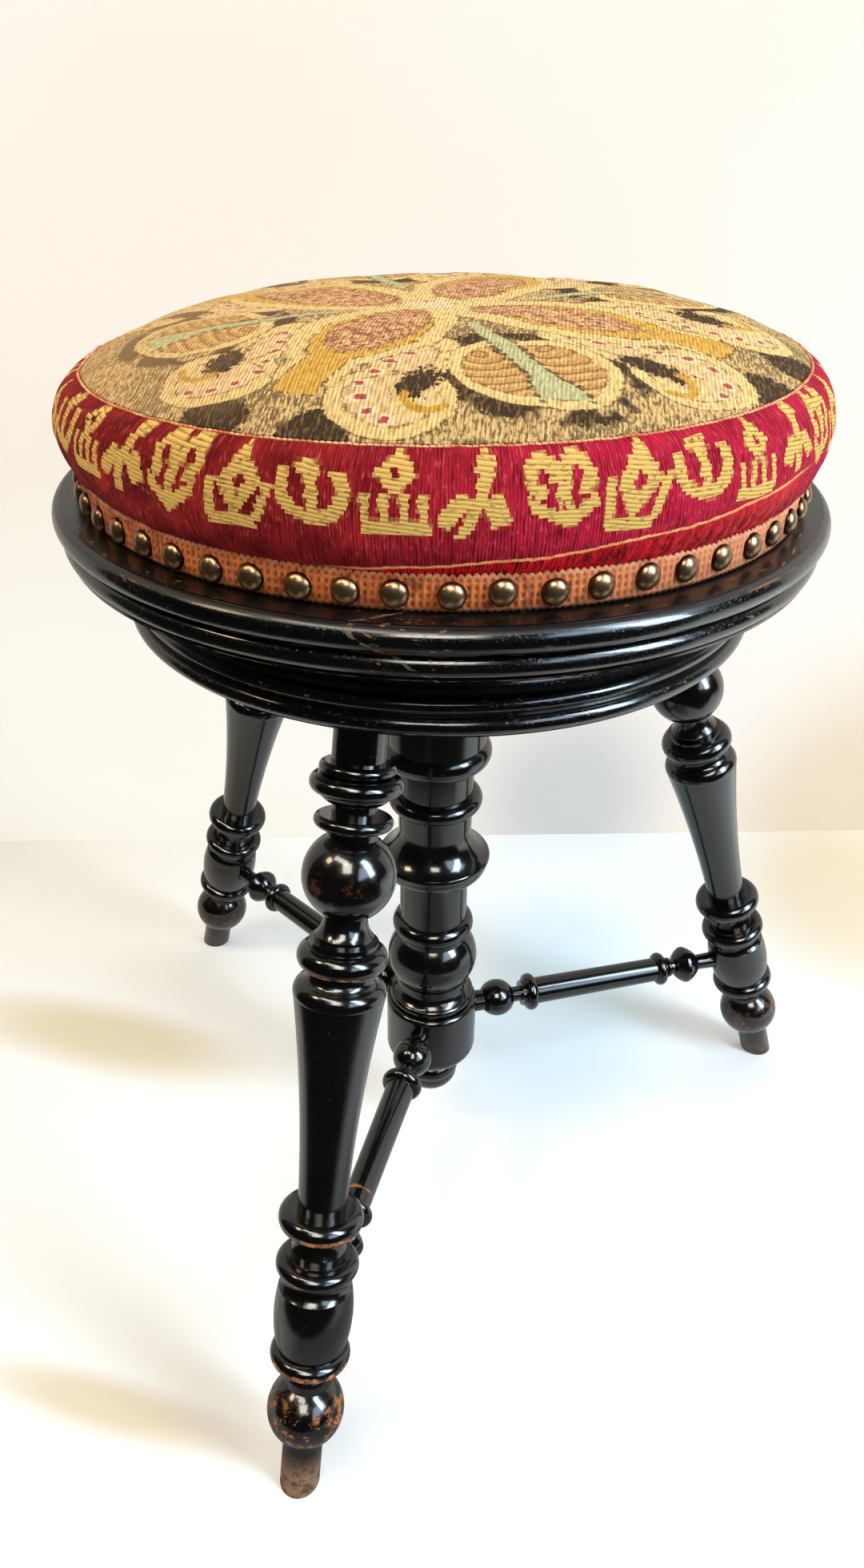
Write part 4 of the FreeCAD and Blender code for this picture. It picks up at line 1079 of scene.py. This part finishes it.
def fans(finish, colour, fan):
    """Two halves of brown scales, parted by a dashed sage stripe."""
    scales = (outside_round(fan, (84, 13), 0) / 6.2).math("FRACT")
    tan = mix(scales, (200, 150, 88), (224, 180, 114))
    arcs = both(ramp(abs(scales - 0.5), 0.16, 0.08), ramp(finish.threads, 0.7, 0.55))
    tan = mix(arcs * 0.8, tan, (136, 90, 48))
    colour = lay(colour, outside_round(fan, FAN_MIDDLE, FAN_RADIUS), finish.cream, 6, tan)
    along, across = fan
    off_stem = across - (ramp(along, 45, 80) * 2 + ramp(along, 100, 126) * 4.5 + 2)
    beside = both(within(off_stem - 3), ramp(abs(along - 98), 20, 17))
    stem = both(within(off_stem), ramp(abs(along - 84), 42, 41))
    dashes = both(
        ramp(abs(off_stem - 0.7), 1.3, 0.7),
        ramp(abs(along - 96), 33, 31),
        ramp(abs((along / 5).math("FRACT") - 0.5), 0.36, 0.26),
    )
    return painted(
        colour,
        (both(beside, ramp(finish.mottle, 0.5, 0.58)), finish.soot),
        (stem, mix(finish.mottle, (172, 174, 126), (212, 204, 154))),
        (dashes * 0.85, (84, 76, 44)),
    )


def petals(finish, colour, petal):
    """A cream rim, mustard flanks and stem, and a mottled rose heart."""
    along, across = petal
    mottle = finish.mottle
    rim = either(abs(along - 90) - 28, across - 13.5)
    rim = both(outside_oval(petal, (56, 0), (50, 29)), rim)
    stalk = either(abs(along - 96) - 29, across - along * 0.02 - 6.6)
    flank = both(outside_oval(petal, (60, 0), (40, 20)), stalk)
    mustard = mix(mottle, (204, 152, 56), (230, 184, 92))
    rose = painted(
        mix(ramp(mottle, 0.36, 0.6), (158, 90, 66), (228, 180, 128)),
        (ramp(finish.speckle(2.2, detail=1), 0.56, 0.68), (140, 68, 54)),
        (ramp(finish.speckle(1.7), 0.56, 0.64) * 0.7, (236, 200, 142)),
    )
    heart = outside_oval(petal, (53, 0), (36, 16)) + (mottle - 0.5) * 9 + finish.ragged * 0.35
    for outside, filling in ((rim, finish.cream), (flank, mustard), (heart, rose)):
        colour = lay(colour, outside, filling, 60, filling)
    return colour


# %% Put the pattern together, and age it
def tapestry_finish():
    finish = Finish("tapestry_top")
    x, y, _ = finish.place()
    reach, petal, fan = folded(finish, x, y)
    rib_run = x * math.cos(WARP_TURN) + y * math.sin(WARP_TURN)
    weft_run = y * math.cos(WARP_TURN) - x * math.sin(WARP_TURN)
    finish.threads = threads = finish.speckle(1.15, at=(rib_run, weft_run * 0.22, 0.0))
    finish.mottle = mottle = finish.speckle(3.2, detail=4)
    finish.cloud = finish.speckle(22, detail=3)
    finish.broken = ramp(mottle + threads, 0.85, 1.1)
    finish.ragged = (mottle + threads - 1) * 9
    finish.cream = mix(mottle, (222, 186, 118), (242, 212, 148))
    finish.soot = mix(ramp(threads, 0.5, 0.62), (62, 46, 30), (132, 102, 66))
    hatching = finish.speckle(0.85, at=(rib_run, weft_run * 0.34, 7.0))
    colour = drops(finish, ground(finish, petal, fan, hatching), petal)
    colour = petals(finish, fans(finish, colour, fan), petal)
    middle = within(reach + (mottle - 0.5) * 16 - 9)
    faded = ramp(-x + finish.cloud * 90, 70, 170) * 0.3
    colour = painted(colour, (middle, (238, 204, 166)), (faded, (222, 184, 128)))
    ribs = wave(rib_run * (math.tau / 1.5))
    wefts = wave(weft_run * (math.tau / 1.1))
    # Painted shade between the ribs, with darker threads, multiplied over the colour
    shade = ribs * 0.45 + ramp(threads, 0.66, 0.4) * 0.55
    shade = mix(shade, (166, 142, 112), (1, 1, 1, 1))
    multiply = {"data_type": "RGBA", "blend_type": "MULTIPLY"}
    return finish.surface(
        Base_Color=finish.node("ShaderNodeMix", multiply, 0.8, colour, shade),
        Roughness=0.8 + mottle * 0.12,
        Specular_IOR_Level=0.15,
        Normal=finish.bump(ribs * 0.5 + wefts * 0.3 + mottle * 0.9, 0.6, 0.0007),
    )


cover.data.materials.append(tapestry_finish())
print("tapestry nodes:", len(cover.data.materials[0].node_tree.nodes))


# %% Seam, gimp and nail finishes
def seam_finish():
    finish = Finish("seam_thread")
    x, y, _ = finish.place()
    turn = y.math("ARCTAN2", x)
    stitch = (turn * (STITCHES / math.tau)).math("FRACT")
    patches = finish.speckle(9)
    thread = mix(ramp(patches, 0.4, 0.6), (232, 176, 122), (210, 116, 74))
    return finish.surface(
        Base_Color=mix(ramp(abs(stitch - 0.5), 0.36, 0.48), thread, (156, 62, 46)),
        Roughness=0.8 + patches * 0.1,
    )


def gimp_finish():
    finish = Finish("orange_gimp")
    x, y, z = finish.place()
    turn = y.math("ARCTAN2", x)
    aside = (turn + RED_SIDE).math("SINE")
    ribs = (turn * LOOPS).math("COSINE") * 0.5 + 0.5
    cords = wave(z * (math.tau / 3.1))
    patches = finish.speckle(7, detail=3)
    blots = finish.speckle(2.0, detail=3)
    gaps = both(ramp(ribs, 0.3, 0.1), ramp(cords + blots, 1.3, 0.9))
    stains_and_painted_light = ramp(finish.speckle(4.5, at=(x, y, z * 0.6)), 0.54, 0.68)
    picots = ramp(abs(z - NAIL_HEIGHT), 5.0, 6.2) * ramp(patches, 0.3, 0.6)
    # Darker towards the bottom edge, and painted shade on the left side
    dark_low_and_shaded_left = ramp(z + patches * 4, 438.5, 434)
    dark_low_and_shaded_left = either(dark_low_and_shaded_left, ramp(aside + patches * 0.6, -0.3, -0.7) * 0.6)
    colour = painted(
        mix(patches * 0.6 + blots * 0.4, (128, 44, 4), (216, 102, 34)),
        (either(ribs, cords) * blots * 0.9, (238, 148, 84)),
        (gaps * ramp(blots, 0.4, 0.56) * 0.7, (104, 34, 14)),
        (stains_and_painted_light * 0.7, (106, 38, 12)),
        # Painted light: the right side is lighter and pinker
        (ramp(aside, 0.05, 0.84) * 0.36, (244, 174, 136)),
        (picots * 0.5, (238, 178, 134)),
        (dark_low_and_shaded_left * 0.8, (58, 30, 20)),
    )
    return finish.surface(
        Base_Color=colour,
        Roughness=0.82 + patches * 0.1,
        Normal=finish.bump(either(ribs, cords) * 0.7 + patches * 0.5, 0.6, 0.0006),
    )


def nail_finish():
    finish = Finish("antique_nails")
    x, y, _ = finish.place()
    patina = finish.speckle(5)
    fine = finish.speckle(0.8)
    lift = length(x, y) + patina * 1.4
    rubbed = ramp(lift, 163.6, 165.6)
    return finish.surface(
        Base_Color=mix(rubbed, (60, 42, 28), (172, 138, 102)),
        Metallic=0.95,
        Roughness=0.22 + patina * 0.14,
        Normal=finish.bump(fine, 0.12, 0.0003),
    )


seam.data.materials.append(seam_finish())
gimp.data.materials.append(gimp_finish())
nails.data.materials.append(nail_finish())
print("trimmings dressed")

# %% [markdown]
# ## Camera
# The camera stands above the seat and a little to the right of the front leg, and looks down by
# 32 degrees. Its place comes from fitting the legs' rings and the rims of both discs. The image
# is 1080 by 1959, so the lens is given over the long, upright side.

# %% Set up the camera
CAMERA_PLACE = Vector((130, -504.3, 591.3)) * MM
HEADING = math.radians(14.68)
PITCH = math.radians(32.46)
ROLL = math.radians(-1)
FOCAL_PIXELS = 1399
IMAGE_HEIGHT = 1959

camera = add("camera", bpy.data.cameras.new("camera"))
camera.data.sensor_width = 36
camera.data.lens = FOCAL_PIXELS / IMAGE_HEIGHT * 36
camera.data.clip_start = 0.01
facing = Matrix.Rotation(HEADING, 4, "Z") @ Matrix.Rotation(math.pi / 2 - PITCH, 4, "X")
camera.matrix_world = Matrix.Translation(CAMERA_PLACE) @ facing @ Matrix.Rotation(-ROLL, 4, "Z")
bpy.context.scene.camera = camera
print("lens:", round(camera.data.lens, 2), "mm")

# %% [markdown]
# ## Floor, wall and light
# The stool stands on a white floor before a pale wall. Both give a little light of their own to
# the camera and to reflections, so the lamps needn't be strong enough to bleach the cloth. Both
# also carry painted shadows and patches of painted light. Seen from behind, the wall lets the view
# through.

# %% The stage
WALL_BEHIND = 841 * MM
WALL_TURN = math.radians(3)
WALL_HEIGHT = 2.4
WALL_HALF = 2
FLOOR_HALF = 4
FLOOR_FADE = (560, 1100)
ahead = Vector((-math.sin(HEADING), math.cos(HEADING), 0))
right = Vector((math.cos(HEADING), math.sin(HEADING), 0))
foot = Vector((CAMERA_PLACE.x, CAMERA_PLACE.y, 0)) + ahead * WALL_BEHIND
through_wall = ahead * math.cos(WALL_TURN) - right * math.sin(WALL_TURN)


def stage_finish(name, colour, own_light, glow, see_through_back, stains_and_painted_light):
    """Pale, and a little bright of itself, with patches of painted shadow and painted light. The
    polish shows it dimly, as a painted dark reflection, and none of it in front.
    """
    finish = Finish(name)
    x, y, z = finish.place()
    rays = [finish.node("ShaderNodeLightPath", {}, out=index) for index in (0, 3, 6)]
    camera_ray, glossy_ray = rays[:2]
    seen = either(*rays)
    cloud = finish.speckle(420)
    pale = mix(ramp(cloud, 0.35, 0.7), colour, (253, 252, 251))
    # Patches of painted shadow and painted light, in the colour and in the glow alike
    for middle, half, tinge in stains_and_painted_light:
        spans = [(value - at) / size for value, at, size in zip((x, y, z), middle, half)]
        painted_light_mask = ramp(length(*spans) + cloud * 0.4, 1.5, 0.5)
        pale = mix(painted_light_mask, pale, tinge)
        own_light = mix(painted_light_mask, own_light, tinge)
    reach = length(x, y)
    past_wall = x * through_wall.x + y * through_wall.y - foot.dot(through_wall) / MM
    beyond = ramp(past_wall, 2, 6)  # from behind, the floor past the wall is plain white
    shader = finish.node(
        "ShaderNodeMixShader",
        {},
        either(seen * glow, camera_ray * either(ramp(reach, *FLOOR_FADE), beyond) * 0.92),
        finish.node("ShaderNodeBsdfDiffuse", {}, pale),
        finish.node("ShaderNodeEmission", {}, own_light, 1.0),
    )
    # Painted dark reflection: in the polish the floor and wall show dimmed, less so to the right
    # and more so in front, and black further out in front
    away = ramp(reach, 300, 480) * ramp(y, 50, -180)
    in_front = ramp(abs(x - 60), 190, 90) * ramp(y, -40, -120)
    dimmed = 0.5 - ramp(x, 100, 600) * 0.3 + in_front * 0.3
    painted_dark_reflection = finish.node("ShaderNodeEmission", {}, (0.02, 0.02, 0.02, 1), 1.0)
    unseen = both(glossy_ray, either(away, dimmed))
    shader = finish.node("ShaderNodeMixShader", {}, unseen, shader, painted_dark_reflection)
    if see_through_back:
        clear = finish.node("ShaderNodeBsdfTransparent", {})
        back = finish.node("ShaderNodeNewGeometry", {}, out=6)
        shader = finish.node("ShaderNodeMixShader", {}, back, shader, clear)
    finish.node("ShaderNodeOutputMaterial", {}, shader)
    return finish.owner


def sheet(name, middle, along, across, material):
    """A rectangle about its middle, half as long and half as wide as the two vectors say."""
    corners = [middle - along - across, middle + along - across]
    corners += [middle + along + across, middle - along + across]
    data = bpy.data.meshes.new(name)
    data.from_pydata(corners, [], [(0, 1, 2, 3)])
    data.materials.append(material)
    piece = add(name, data)


# Painted shadows of the stool on the floor, warm and cool
FLOOR_PAINTED_SHADOWS = [
    ((-240, 0, 0), (120, 34, 50), (0.76, 0.67, 0.5, 1)),
    ((-112, -238, 0), (84, 17, 50), (0.76, 0.66, 0.5, 1)),
    ((66, 130, 0), (80, 120, 50), (0.72, 0.84, 0.92, 1)),
    ((290, 330, 0), (130, 150, 50), (0.84, 0.7, 0.52, 1)),
]
# A painted grey shadow of the stool on the wall, a painted warm cast, and a lighter patch
WALL_PAINTED_LIGHT_AND_SHADOW = [
    ((35, 348, 40), (90, 200, 120), (0.68, 0.68, 0.68, 1)),
    ((280, 422, 30), (120, 300, 170), (0.86, 0.74, 0.57, 1)),
    ((-340, 225, 110), (260, 300, 200), (1.05, 1.03, 0.95, 1)),
]
FLOOR_LIGHT = (1, 0.99, 0.97, 1)
WALL_LIGHT = (0.97, 0.88, 0.79, 1)
floor_white = stage_finish("floor_white", (248, 249, 250), FLOOR_LIGHT, 0.16, False, FLOOR_PAINTED_SHADOWS)
wall_white = stage_finish("wall_white", (250, 240, 228), WALL_LIGHT, 0.68, True, WALL_PAINTED_LIGHT_AND_SHADOW)
along_wall = (right * math.cos(WALL_TURN) + ahead * math.sin(WALL_TURN)) * WALL_HALF
half_up = Vector((0, 0, WALL_HEIGHT / 2))
sheet("floor", Vector(), Vector((FLOOR_HALF, 0, 0)), Vector((0, FLOOR_HALF, 0)), floor_white)
sheet("wall", foot + half_up, along_wall, half_up, wall_white)
print("wall stands", round(WALL_BEHIND, 3), "m from the camera")

# %% Lamps, and a sky with painted reflections
def lamp(name, place, target, size, power, colour):
    data = bpy.data.lights.new(name, "AREA")
    data.shape = "RECTANGLE"
    data.size, data.size_y = size
    data.energy = power
    data.color = colour
    piece = add(name, data)
    piece.location = place
    piece.rotation_euler = (Vector(target) - Vector(place)).to_track_quat("-Z", "Y").to_euler()


lamp("window", (1.35, -0.35, 1.25), (0, 0, 0.25), (0.45, 1.3), 32, (0.72, 0.88, 1.0))
lamp("ceiling", (-1.2, -0.75, 1.7), (0, 0, 0.25), (0.4, 0.4), 8, (1.0, 0.8, 0.52))
lamp("above", (-0.3, -0.85, 2.0), (0, 0, 0.4), (1.2, 0.34), 14, (1.0, 0.93, 0.8))

world = bpy.data.worlds.new("room")
bpy.context.scene.world = world
room = Finish("room", world)
direction = room.node("ShaderNodeTexCoord", {}, out=0)
towards = [room.node("ShaderNodeSeparateXYZ", {}, direction, out=axis) for axis in range(3)]
behind = towards[0] * ahead.x + towards[1] * ahead.y
pale = ramp(behind, -0.2, 0.6)
mirrored = room.node("ShaderNodeLightPath", {}, out=3)
# Painted dark reflection: the room in front is nearly black in the polish, yet lights things pale
# grey
dim = mix(mirrored, (0.42, 0.40, 0.37, 1), (0.03, 0.03, 0.032, 1))
sideways = towards[0] * right.x + towards[1] * right.y
aside = ramp(sideways, -0.9, 0.9)
bright = mix(aside, (1.0, 0.9, 0.74, 1), (0.84, 0.93, 1.0, 1))
# Painted dark reflection: in the polish the bright side darkens towards the horizon
low = mirrored * ramp(towards[2], 0.75, 0.0)
bright = mix(low * 0.9, bright, (0.03, 0.03, 0.032, 1))
seen = room.node("ShaderNodeLightPath", {}, out=0)
colour = mix(seen, mix(pale, dim, bright), (1.86, 1.83, 1.78, 1))


def pane(colour, sides, heights, depth, glare):
    """Adds a bright pane behind the camera, which shows in the polish alone as a painted
    reflection.
    Each pair of numbers is a soft edge of it."""
    shown = both(mirrored, ramp(behind, *depth))
    shown = both(shown, *[ramp(sideways, *edge) for edge in sides])
    shown = both(shown, *[ramp(towards[2], *edge) for edge in heights])
    return mix(shown, colour, glare)


# Two painted reflections: a warm pane over the camera and a cool window pane to its right
sky_reflection = ((-0.24, -0.14), (0.22, 0.1)), ((0.6, 0.66), (0.9, 0.86)), (0, -0.2)
window = ((0.42, 0.5), (0.88, 0.8)), ((0.28, 0.36), (0.74, 0.64)), (-0.05, -0.2)
colour = pane(colour, *sky_reflection, (22, 21, 18.5, 1))
colour = pane(colour, *window, (6, 7.6, 9.6, 1))
backdrop = room.node("ShaderNodeBackground", {}, colour, 0.52)
room.node("ShaderNodeOutputWorld", {}, backdrop)
bpy.context.scene.view_settings.view_transform = "Standard"

# %% [markdown]
# ## Finish

# %% Done
print("scene built")
